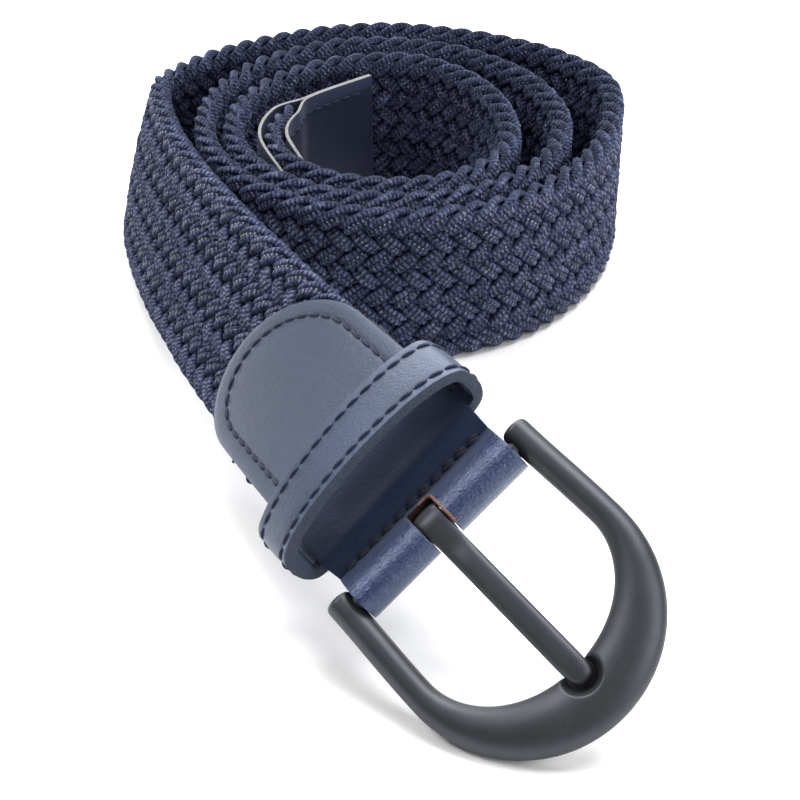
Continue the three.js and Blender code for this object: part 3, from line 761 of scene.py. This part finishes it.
# painted shade: a darker, duller copy of the tab leather for the shaded strip under the keeper
shade_painted_leather = leather_finish(
    "shade_painted_leather", (0.007, 0.012, 0.031), (0.013, 0.021, 0.050), (0.011, 0.017, 0.040),
    roughness=0.6, specular=0.2)
painted_edge = cut_edge_finish(
    "painted_edge", (0.006, 0.008, 0.016), (0.024, 0.029, 0.046),
    inside=[(0.42, (0.008, 0.006, 0.006)), (0.66, (0.085, 0.038, 0.023))])
keeper_edge = cut_edge_finish("keeper_edge", (0.020, 0.027, 0.043), (0.052, 0.066, 0.095))
cream_edge = cut_edge_finish("cream_edge", (0.06, 0.058, 0.055), (0.26, 0.26, 0.26))
seam_thread = thread_finish("seam_thread", (0.005, 0.007, 0.022), (0.020, 0.026, 0.072))
dark_thread = thread_finish("dark_thread", (0.002, 0.003, 0.010), (0.009, 0.012, 0.036))
print("finishes:", ", ".join(m.name for m in bpy.data.materials))

# %% [markdown]
# ## The leather round the crossbar
# One strip of leather holds the buckle. It starts as a rounded tab on the outer face, runs to the
# crossbar, folds round it and ends as a second tab on the inner face. Its middle line is drawn from
# the side first, as a place along the strap and a height; the strip's own places are then measured
# from the middle of the fold. A slot is cut in the fold for the prong.

# %% Shape of the buckle leather
LEATHER = 1.3
STRAP_HALF_WIDTH = 17.8
INNER_HALF_WIDTH = 17.25
FOLD_HALF_WIDTH = 17.4
SEWN_ABOVE = 3.05  # from the strap's middle to the middle of a layer over the braid
TUCKED_ABOVE = 0.95  # under the keeper's ends
GLUED_ABOVE = 0.8
FOLD_RADIUS = 2.95
SEAM_CREST = -10.2
PINCH = -5.7
SLOT_HALF_WIDTH = 2.5
SLOT_START = -3.95
TAB_END_SHORTER = 1.9  # the rounded end is sewn on askew: this much shorter
TAB_END_SLOPE = 0.33  # and this much more for each millimetre towards the upper edge
DRAWN_IN = 0.4  # between the keeper and the seam the outer layer is drawn in by this much
HOLLOW_STARTS = (-21, -14.5)  # where there is none of that yet, and where all of it
HOLLOW_ENDS = (-9.5, -13.5)
HOLLOW_ACROSS = (13.5, 8.5)
TUCKED_ALONG = (-24.3, -21.2)  # the inner layer comes in between these
ASKEW_ALONG = (-32, -52)
CREST_AT = -8.4  # the stitched seam behind the fold stands up here
CREST_HEIGHT = 0.2
PINCH_DEPTH = 0.35
SHADE_PAINTED_FROM = -21  # from here to the seam a darker, duller leather paints the shade under the keeper
STITCH_INSET = 3.4
GROOVE_WIDTH = 0.42
PADDED = 0.12  # how far the middle stands up inside the stitches
EDGE_LOWER = 0.16
GRID_STEP = 0.5


def dip_share(along):
    """0 on the flat part and 1 where the two layers meet behind the crossbar."""
    return smooth_step(SEAM_CREST, PINCH, along)


def under_keeper(along):
    """How far the inner layer is below the strap's middle."""
    at_keeper = SEWN_ABOVE + (TUCKED_ABOVE - SEWN_ABOVE) * smooth_step(*TUCKED_ALONG, along)
    return at_keeper + (GLUED_ABOVE - at_keeper) * dip_share(along)


def fold_line():
    """The strip from the side: the outer layer, an arc round the crossbar, the inner layer."""
    along = np.arange(-TAB_LENGTH, PINCH, 0.2)
    rise = np.arcsin(FOLD_RADIUS / np.hypot(PINCH, GLUED_ABOVE)) - np.arctan2(GLUED_ABOVE, -PINCH)
    angle = np.linspace(np.pi / 2 + rise, -np.pi / 2 - rise, 61)
    there = np.column_stack([along, SEWN_ABOVE + (GLUED_ABOVE - SEWN_ABOVE) * dip_share(along)])
    bend = FOLD_RADIUS * np.column_stack([np.cos(angle), np.sin(angle)])
    back = np.column_stack([along[::-1], -under_keeper(along[::-1])])
    return np.vstack([there, bend, back])


def on_profile(line, lengths, length, above):
    """The two coordinates of a place seen from the side: at a length on a line, and out of it."""
    place = read(line, lengths, length)
    run = read(unit(np.gradient(line, lengths, axis=0)), lengths, length)
    return place[..., 0] - run[..., 1] * above, place[..., 1] + run[..., 0] * above


FOLD_LINE = fold_line()
FOLD_LENGTHS = measured(FOLD_LINE)
FOLD_LENGTHS -= FOLD_LENGTHS[np.argmax(FOLD_LINE[:, 0])]
OUTER_SIDE = FOLD_LENGTHS <= 0


def length_at(along):
    """Length on the outer layer at a place along the strap. The inner layer has the same, negated."""
    return np.interp(along, FOLD_LINE[OUTER_SIDE, 0], FOLD_LENGTHS[OUTER_SIDE])


def on_leather(length, across, above):
    """A place on the strip: length from the fold's middle, across, and out of its middle line."""
    along, height = on_profile(FOLD_LINE, FOLD_LENGTHS, length, above)
    askew = smooth_step(*ASKEW_ALONG, along) * (TAB_END_SHORTER + TAB_END_SLOPE * across)
    return strap(BAR_AT + along + askew, across, height)


def strip_places(rows, columns, half, round_start=True):
    """Length, across and distance from the edge on a strip with half-round ends.

    A square is eased into each half disc: X = x sqrt(1 - y^2/2) and Y = y sqrt(1 - x^2/2).
    """
    row, y = np.meshgrid(rows, columns, indexing="ij")
    half = np.broadcast_to(np.asarray(half, float).reshape(-1, 1), row.shape)
    near = np.clip((rows[0] + half - row) / half, 0, 1) * round_start
    far = np.clip((row - rows[-1] + half) / half, 0, 1)
    x = near + far
    pull = np.sqrt(1 - y**2 / 2)
    length = np.where(near > 0, rows[0] + half * (1 - x * pull), row)
    length = np.where(far > 0, rows[-1] - half * (1 - x * pull), length)
    side = y * np.sqrt(1 - x**2 / 2)
    reach = np.where(x > 0, np.hypot(x * pull, side), np.abs(y))
    edge = half * (1 - reach)
    return length, half * side, edge


def sewn_relief(edge, depth=0.2):
    """Heights that show the sewing: a groove under the stitches, a soft edge and a padded middle."""
    padded = PADDED * smooth_step(STITCH_INSET, STITCH_INSET + 4, edge)
    softened = EDGE_LOWER * smooth_step(1, 0, edge)
    return padded - depth * bell(edge - STITCH_INSET, GROOVE_WIDTH) - softened


def stepped(*stops):
    """Evenly spaced values between stops, each stop hit exactly, about one grid step apart."""
    parts = [np.linspace(a, b, round(abs(b - a) / GRID_STEP) + 1)[1:] for a, b in zip(stops, stops[1:])]
    return np.concatenate([[stops[0]], *parts])


def ready(piece, body, slot, *replaced):
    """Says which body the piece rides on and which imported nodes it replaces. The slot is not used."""
    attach(piece, body)
    if replaced:
        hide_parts(*replaced)
    print(f"{piece.name}: {len(piece.data.polygons)} faces before its modifiers")


slot_length = length_at(SLOT_START)
rows = stepped(FOLD_LENGTHS[0], slot_length, -slot_length, FOLD_LENGTHS[-1])
slot_share = SLOT_HALF_WIDTH / FOLD_HALF_WIDTH
columns = stepped(-FOLD_HALF_WIDTH, -SLOT_HALF_WIDTH, SLOT_HALF_WIDTH, FOLD_HALF_WIDTH) / FOLD_HALF_WIDTH
row_along = np.interp(rows, FOLD_LENGTHS, FOLD_LINE[:, 0])
layer_half = np.where(rows > 0, INNER_HALF_WIDTH, STRAP_HALF_WIDTH)
row_half = layer_half + (FOLD_HALF_WIDTH - layer_half) * dip_share(row_along)
length, across, edge = strip_places(rows, columns, row_half)
sewn = 1 - smooth_step(length_at(-SEWN_FROM), length_at(-SEWN_FROM + 3), -np.abs(length))
row_hollow = smooth_step(*HOLLOW_STARTS, row_along) * smooth_step(*HOLLOW_ENDS, row_along) * (rows < 0)
hollow = DRAWN_IN * row_hollow[:, None] * smooth_step(*HOLLOW_ACROSS, np.abs(across))
crest = CREST_HEIGHT * bell(row_along - CREST_AT, 1.5)[:, None]
pinched = PINCH_DEPTH * bell(np.abs(length) + length_at(PINCH), 0.8)
relief = sewn_relief(edge) * sewn + crest - hollow - pinched
cell_row = (rows[1:] + rows[:-1]) / 2
cell_column = (columns[1:] + columns[:-1]) / 2
slot_hole = (np.abs(cell_row) < -slot_length)[:, None] & (np.abs(cell_column) < slot_share)[None, :]
cell_along = (row_along[1:] + row_along[:-1]) / 2
shade_painted = (cell_row < 0) & (cell_along > SHADE_PAINTED_FROM) & (cell_along < PINCH)
slots = np.broadcast_to(np.where(shade_painted, 2, 0)[:, None], slot_hole.shape)
buckle_leather = add_leather(
    "buckle_leather_strip", on_leather(length, across, relief), length, edge,
    [tab_leather, painted_edge, shade_painted_leather, painted_edge], LEATHER, 0.28, slot_hole, slots)
ready(buckle_leather, "strap", "smooth_leather", "buckle_leather")

# %% [markdown]
# ## Stitches
# A stitch is a short piece of thread that comes up out of one hole and goes down the next. Each one
# is a small tube along the sewing line, low at both ends, high in the middle and a little askew.
# The same function sews every piece: it only needs the function that gives places on the piece.

# %% Stitches on the tab
STITCH_PITCH = 3.1
THREAD_RADIUS = 0.35
STITCH_DIP = 0.32  # the ends of a stitch lie this far below the face
STITCH_RISE = 0.42  # and its middle is this much higher
STITCH_SHARE = 0.96  # of the pitch; the rest is the gap to the next one


def stitch_rings(on_piece, length, across, face, pitch=STITCH_PITCH, radius=THREAD_RADIUS, askew=0.22):
    """Rings [stitch, ring, side, xyz] along a line on a piece. Height is rise * sqrt(sin) - dip."""
    base = on_piece(length, across, np.full_like(length, face))
    outward = unit(on_piece(length, across, np.full_like(length, face + 1)) - base)
    gone = measured(base) / MM
    count = int(gone[-1] // pitch)
    share = np.linspace(0, 1, STITCH_RINGS)
    at = (np.arange(count)[:, None] + 0.5 + (share - 0.5) * STITCH_SHARE) * gone[-1] / count
    centre, up = read(base, gone, at), unit(read(outward, gone, at))
    beside, _ = square_to(centre, up)
    swell = np.sqrt(np.sin(np.pi * share))
    height = STITCH_RISE * swell - STITCH_DIP
    centre = centre + up * (height * MM)[:, None] + beside * (askew * (share - 0.5) * MM)[:, None]
    width = np.broadcast_to(radius * MM * (0.5 + 0.5 * swell), at.shape)
    return around(centre, beside, up, width, width * 0.9, 6)


def u_line(start, tip, half):
    """A line that runs up one side to a half-round end and down the other side."""
    angle = np.radians(np.arange(0, 181, 3))
    way = np.sign(tip - start)
    run = np.linspace(start, tip - way * half, 60)[:-1]
    length = np.concatenate([run, tip - way * half * (1 - np.sin(angle)), run[::-1]])
    across = np.concatenate([np.full(59, half), half * np.cos(angle), np.full(59, -half)])
    return length, across


SEWN_HALF_WIDTH = STRAP_HALF_WIDTH - STITCH_INSET
TAB_SEAM_END = -25.0
FOLD_SEAMS = (PINCH + 0.1, PINCH - 0.9)
FOLD_SEAM_REACH = 15.6
FOLD_STITCH = {"pitch": 2.7, "radius": 0.5, "askew": 0.6}
FACE = LEATHER / 2
tab_seams, fold_seams = [], []
for side in (1, -1):
    seam_ends = side * length_at(TAB_SEAM_END), side * (length_at(-TAB_LENGTH) + STITCH_INSET)
    tab_seams.append(stitch_rings(on_leather, *u_line(*seam_ends, SEWN_HALF_WIDTH), FACE))
    for place in FOLD_SEAMS:
        across = np.linspace(-FOLD_SEAM_REACH, FOLD_SEAM_REACH, 60)
        length = np.full_like(across, side * length_at(place))
        fold_seams.append(stitch_rings(on_leather, length, across, FACE - 0.1, **FOLD_STITCH))
for name, seams, thread in (("tab", tab_seams, seam_thread), ("fold", fold_seams, dark_thread)):
    ready(add_tubes(f"{name}_stitches", np.concatenate(seams), thread), "strap", "smooth_leather")

# %% [markdown]
# ## Raw rim and loose threads
# The slot for the prong is cut through to the undyed middle of the leather, so a thin copper-brown
# rim shows round its upper corner. Two cut thread ends stick out of the seam at the tab's lower edge.
# Both are thin tubes along a line of places on the leather, so one function makes them.

# %% Slot rim and thread ends
RIM_RADIUS = 0.24
RIM_CLEAR = 0.3  # from the slot's wall to the middle of its rim
RIM_CORNER = 1.2
RIM_END = -1.2  # length from the fold's middle at which it goes out of sight
THREAD_ENDS = np.array([(-40.2, 0.9), (-45.4, -0.7)])  # where along the strap, and which way each curls


def thin_tubes(length, across, above, radius, sides=8):
    """Rings of one radius along lines of places on the leather; above is out of its middle."""
    centre = on_leather(length, across, above)
    beside, up = square_to(centre, on_leather(length, across, above + 1) - centre)
    size = np.full(centre.shape[:2], radius * MM)
    return around(centre, beside, up, size, size, sides)


rim_back = slot_length - RIM_CLEAR
rim_side = SLOT_HALF_WIDTH + RIM_CLEAR
turn = np.linspace(0, np.pi / 2, 9)
length = np.concatenate([[rim_back] * 4, rim_back + RIM_CORNER * (1 - np.cos(turn)),
                         np.linspace(rim_back + RIM_CORNER, RIM_END, 24)[1:]])[None]
across = np.concatenate([np.linspace(0.2, rim_side - RIM_CORNER, 5)[:-1],
                         rim_side + RIM_CORNER * (np.sin(turn) - 1), [rim_side] * 23])[None]
rim = thin_tubes(length, across, FACE - 0.08, RIM_RADIUS)
raw_edge = cut_edge_finish("raw_edge", (0.09, 0.040, 0.024), (0.30, 0.140, 0.088))
ready(add_tubes("slot_rim", rim, raw_edge), "strap", "smooth_leather")
share = np.linspace(0, 1, 9)
length = length_at(THREAD_ENDS[:, :1]) + THREAD_ENDS[:, 1:] * share**2
across = np.broadcast_to(-STRAP_HALF_WIDTH + 0.5 - 1.3 * np.sin(2.2 * share), length.shape)
ends = thin_tubes(length, across, 0.2 - 1.4 * share, RIM_RADIUS)
ready(add_tubes("thread_ends", ends, dark_thread), "strap", "smooth_leather")

# %% [markdown]
# ## The keeper
# The keeper is a loop of doubled leather that stands up as an arch over the strap. Its ends are
# tucked in between the layers at the strap's edges. Half of its middle line is a table of places;
# a centripetal Catmull-Rom curve through them gives the round shoulders. Two seams run along it.

# %% Keeper
KEEPER_FRONT = 10.7
KEEPER_BACK = 20.9
KEEPER_WALL = 2.1
KEEPER_TIPPED = 0.05  # height per millimetre
TIPPED_WITHIN = (24, 16)  # lengths from its top: not tipped beyond the first, fully within the second
KEEPER_STITCH = {"pitch": 3.0, "radius": 0.34}
KEEPER_HALF_LINE = np.array([
    (0, 13), (7.5, 12.6), (12.8, 11.8), (17.6, 10.3), (20.2, 8.7),
    (20.9, 6.4), (20.7, 3.4), (19.6, 1.6), (17.4, 1.05), (12.5, 1.05),
])


def rounded_line(points, per_piece=24):
    """Centripetal Catmull-Rom curve: knots are spaced by the root of the distance between points."""
    ends = np.vstack([2 * points[0] - points[1], points, 2 * points[-1] - points[-2]])
    gaps = np.sqrt(np.linalg.norm(np.diff(ends, axis=0), axis=1))
    knots = np.concatenate([[0], np.cumsum(gaps)])
    k = [knots[i:len(knots) - 3 + i, None, None] for i in range(4)]
    level = [ends[i:len(ends) - 3 + i, None, :] for i in range(4)]
    t = k[1] + (k[2] - k[1]) * np.linspace(0, 1, per_piece, endpoint=False)[None, :, None]
    for span, starts in ((1, (0, 1, 2)), (2, (0, 1)), (1, (1,))):
        level = [((k[i + span] - t) * level[j] + (t - k[i]) * level[j + 1]) / (k[i + span] - k[i])
                 for j, i in enumerate(starts)]
    return np.vstack([level[0].reshape(-1, points.shape[1]), points[-1:]])


KEEPER_LINE = rounded_line(np.vstack([KEEPER_HALF_LINE[:0:-1] * (-1, 1), KEEPER_HALF_LINE]))
KEEPER_LENGTHS = measured(KEEPER_LINE)
KEEPER_LENGTHS -= KEEPER_LENGTHS[-1] / 2


def on_keeper(length, back, above):
    """A place on the keeper: length along its arch, distance behind the crossbar, out of its middle.

    The arch is tipped back a little: its front edge stands out and its back edge lies lower.
    """
    middle = (KEEPER_FRONT + KEEPER_BACK) / 2
    above = above + KEEPER_TIPPED * (middle - back) * smooth_step(*TIPPED_WITHIN, np.abs(length))
    across, height = on_profile(KEEPER_LINE, KEEPER_LENGTHS, length, above)
    return strap(BAR_AT - back, across, height)


KEEPER_SEAMS = (12.1, 19.3)
length, back = np.meshgrid(stepped(KEEPER_LENGTHS[0], KEEPER_LENGTHS[-1]),
                           np.linspace(KEEPER_FRONT, KEEPER_BACK, 31), indexing="ij")
edge = np.minimum(back - KEEPER_FRONT, KEEPER_BACK - back)
grooves = sum(0.16 * bell(back - seam, 0.4) for seam in KEEPER_SEAMS)
relief = 0.1 * smooth_step(1.5, 4, edge) - grooves
keeper = add_leather("keeper_arch", on_keeper(length, back, relief), length, edge + 1.6,
                     [keeper_leather, keeper_edge], KEEPER_WALL, 0.8)
ready(keeper, "strap", "grain_leather", "keeper_loop")
KEEPER_SEAM_REACH = 27.0
line = np.linspace(-KEEPER_SEAM_REACH, KEEPER_SEAM_REACH, 200)
keeper_seams = np.concatenate([
    stitch_rings(on_keeper, line, np.full_like(line, seam), KEEPER_WALL / 2, **KEEPER_STITCH)
    for seam in KEEPER_SEAMS
])
ready(add_tubes("keeper_stitches", keeper_seams, seam_thread), "strap", "grain_leather")

# %% [markdown]
# ## Leather at the tip
# Two layers of leather close the other end of the strap, coloured darker as painted shade from inside
# the roll. They are glued to each other for the first 20 mm, part round the braid and end in a half
# circle. Their edges are left raw and look cream.

# %% Tip leathers
TIP_HALF_WIDTH = 17.2
TIP_LEATHER = 0.65
TIP_GROOVE = 0.14
TIP_THREAD = 0.26
TIP_GLUED_ABOVE = 0.38
TIP_NARROWER = 1.4  # at its very end, where it is rounded off a little
GLUED_UNTIL = 20.0
CLIMBED_AT = 29.5


def on_tip(side):
    """The function that gives places on one layer: side is 1 on the outer face, -1 on the inner."""
    def place(length, across, above):
        """A place on the layer: length from the tip, across, and out of its middle."""
        across = across * (1 - TIP_NARROWER / TIP_HALF_WIDTH * (1 - smooth_step(0, CLIMBED_AT, length)))
        parted = smooth_step(GLUED_UNTIL, CLIMBED_AT, length)
        middle = TIP_GLUED_ABOVE + (SEWN_ABOVE - TIP_GLUED_ABOVE) * parted
        return strap(length, across, side * (middle + above))
    return place


rows = stepped(0, TIP_LENGTH)
columns = stepped(-TIP_HALF_WIDTH, TIP_HALF_WIDTH) / TIP_HALF_WIDTH
length, across, edge = strip_places(rows, columns, np.full(len(rows), TIP_HALF_WIDTH), round_start=False)
for side, word in ((1, "outer"), (-1, "inner")):
    places = on_tip(side)(length, across, sewn_relief(edge, TIP_GROOVE))
    layer = add_leather(f"tip_{word}", places, length, edge, [tip_leather, cream_edge], TIP_LEATHER, 0.2)
    ready(layer, "strap", "tip_leather", f"tip_leather_{word}")
    around_line = u_line(STITCH_INSET, TIP_LENGTH - STITCH_INSET, TIP_HALF_WIDTH - STITCH_INSET)
    rings = stitch_rings(on_tip(side), *around_line, TIP_LEATHER / 2, radius=TIP_THREAD)
    ready(add_tubes(f"tip_{word}_stitches", rings, seam_thread), "strap", "tip_leather")

# %% [markdown]
# ## The buckle
# The frame is cast zinc with a matt black coating: two round arms and a broad, softly swollen front
# with a notch that the prong rests in. It is one loft along a horseshoe, a straight arm, half an
# ellipse and the other arm. The notch presses the top of the loft down to a floor. Its walls are the
# smaller of two heights, blended where they meet, so the notch has the soft rim of a casting.

# %% Metal finish, frame and crossbar
metal, shader = new_finish("matt_black_coating", 0.45, Metallic=0.7, Specular_IOR_Level=0.5)
place = object_coordinates(shader)
specks = noise(place, 5200.0, 2.0, 0.6)
patches = noise(place, 120.0, 3.0, 0.6)
shade = weighted(0.0, (specks, 0.45), (patches, 0.55))
colour = ramp(shade, [
    (0.30, (0.040, 0.043, 0.051)),
    (0.60, (0.055, 0.059, 0.068)),
    (0.80, (0.086, 0.091, 0.102)),
])
dress(shader, colour, shade, 0.00004)

ARM_SPACING = 20.6
ARM_TOE_IN = 0.6
ARM_RADIUS = 2.5
ARM_END = -2.9
ARM_END_ROUNDING = 1.0
BEND_START = 18
FRONT_REACH = 37.6
FRONT_HALF_WIDTH = 5.45
FRONT_HALF_THICKNESS = 3
BAR_RADIUS = 1.6
NOTCH_HALF_WIDTH = 2.5
NOTCH_END = 35.9
NOTCH_FLOOR = -0.3
NOTCH_WALL_SLOPE = 2.2
NOTCH_ROUNDING = 0.5
FRAME_SIDES = 140


def frame_rings():
    """Rings of the horseshoe: half of its stations, and the same ones mirrored.

    A station is a place, the direction out of the horseshoe, and half a width and a thickness.
    """
    quarter = np.linspace(0, np.pi / 2, 9)
    arm = np.concatenate([ARM_END + ARM_END_ROUNDING * (1 - np.cos(quarter)),
                          np.arange(ARM_END + 2 * ARM_END_ROUNDING, BEND_START, 1.0)])
    radius = np.full(len(arm), ARM_RADIUS)
    radius[:9] *= 0.72 + 0.28 * np.sin(quarter)
    toe_in = ARM_TOE_IN * (1 - smooth_step(ARM_END, BEND_START, arm))
    straight = np.column_stack([arm, ARM_SPACING - toe_in, 0 * arm, 0 * arm + 1, radius, radius])
    angle = np.radians(np.concatenate([np.linspace(90, 12, 70), np.linspace(12, 0, 50)[1:]]))
    reach = FRONT_REACH - BEND_START
    swell = np.cos(angle) ** 1.5
    bend = np.column_stack([
        BEND_START + reach * np.cos(angle), ARM_SPACING * np.sin(angle),
        unit(np.column_stack([np.cos(angle) / reach, np.sin(angle) / ARM_SPACING])),
        ARM_RADIUS + (FRONT_HALF_WIDTH - ARM_RADIUS) * swell,
        ARM_RADIUS + (FRONT_HALF_THICKNESS - ARM_RADIUS) * swell,
    ])
    half = np.vstack([straight, bend])
    stations = np.vstack([half, half[-2::-1] * (1, -1, 1, -1, 1, 1)])
    ahead, across, out_ahead, out_across, wide, thick = stations.T[..., None]
    turn = turns(FRAME_SIDES)
    sideways = wide * np.cos(turn)
    x = ahead + out_ahead * sideways
    y = across + out_across * sideways
    z = thick * np.sin(turn)
    round_end = np.hypot(np.maximum(x - (NOTCH_END - NOTCH_HALF_WIDTH), 0), y)
    outside = round_end - NOTCH_HALF_WIDTH
    floor_height = NOTCH_FLOOR + NOTCH_WALL_SLOPE * np.maximum(outside, 0)
    share = np.clip(0.5 + (z - floor_height) / (2 * NOTCH_ROUNDING), 0, 1)
    z = z + (floor_height - z) * share - NOTCH_ROUNDING * share * (1 - share)
    return on_buckle(x, y, z), measured(stations[:, :2])


def straight_tube(count, sides):
    """Rings of the crossbar, from one arm to the other."""
    across = np.linspace(-ARM_SPACING, ARM_SPACING, count)[:, None]
    turn = turns(sides, 0)
    return on_buckle(BAR_RADIUS * np.cos(turn), across, BAR_RADIUS * np.sin(turn))


rings, frame_lengths = frame_rings()
buckle_frame = add_tubes("buckle_horseshoe", rings[None], metal, frame_lengths)
ready(buckle_frame, "frame", "matt_black", "buckle_frame")
crossbar = add_tubes("buckle_crossbar", straight_tube(12, 32)[None], metal)
ready(crossbar, "frame", "matt_black")

# %% [markdown]
# ## The prong
# The prong is a flat bar whose end is rolled round the crossbar. A line runs from under the crossbar,
# round its back and over its top, and then ahead to the notch. The section is a rounded box that
# grows from the thin rolled part to the shank and tapers at the tip.

# %% Prong
PRONG_HALF_WIDTH = 2.25
PRONG_HALF_THICKNESS = 1.2
RING_RADIUS = 2.8
RING_HALF_THICKNESS = 0.6
ROLLED_WIDER = 0.18
THICKENS_ALONG = (4.0, 9.0)  # ahead of the crossbar, between the rolled part and the shank
TIP_ROUNDED = 1.8
TIP_TAPER = 0.14
TIP_TAPERED = 4
SHANK = np.array([(4.4, 1.9), (7, 1.6), (16, 1.5), (27, 1.4), (31.0, 1.35), (33.4, 1.15), (35.3, 0.85)])


def prong_rings():
    """Rings of a rounded box along the rolled end and the shank."""
    turn = np.radians(np.arange(-48, -300, -12))
    ring = RING_RADIUS * np.column_stack([np.cos(turn), np.sin(turn)])
    path = rounded_line(np.vstack([ring, SHANK]), 6)
    run = unit(np.gradient(path, axis=0))
    gone = measured(path)
    left = gone[-1] - gone
    cap = np.minimum(left / TIP_ROUNDED, 1)
    round_tip = np.sqrt(np.maximum(1 - (1 - cap) ** 2, 0.04))
    taper = 1 - TIP_TAPER * smooth_step(TIP_TAPERED, 0, left)
    grown = smooth_step(*THICKENS_ALONG, path[:, 0]) * (left < SHANK[-1, 0] + 2)
    thick = (RING_HALF_THICKNESS + (PRONG_HALF_THICKNESS - RING_HALF_THICKNESS) * grown) * taper * round_tip
    rolled = 1 - smooth_step(0, 5, path[:, 0])
    wide = (PRONG_HALF_WIDTH + ROLLED_WIDER * rolled) * taper * (0.35 + 0.65 * round_tip)
    centre = np.column_stack([path[:, 0], np.zeros(len(path)), path[:, 1]])
    side = np.broadcast_to((0.0, 1.0, 0.0), centre.shape)
    up = np.column_stack([-run[:, 1], np.zeros(len(path)), run[:, 0]])
    box = around(centre, side, up, wide, thick, 32, power=2.5)
    return on_buckle(box[..., 0], box[..., 1], box[..., 2]), gone


rings, prong_lengths = prong_rings()
prong = add_tubes("buckle_prong", rings[None], metal, prong_lengths)
ready(prong, "prong", "matt_black", "prong")
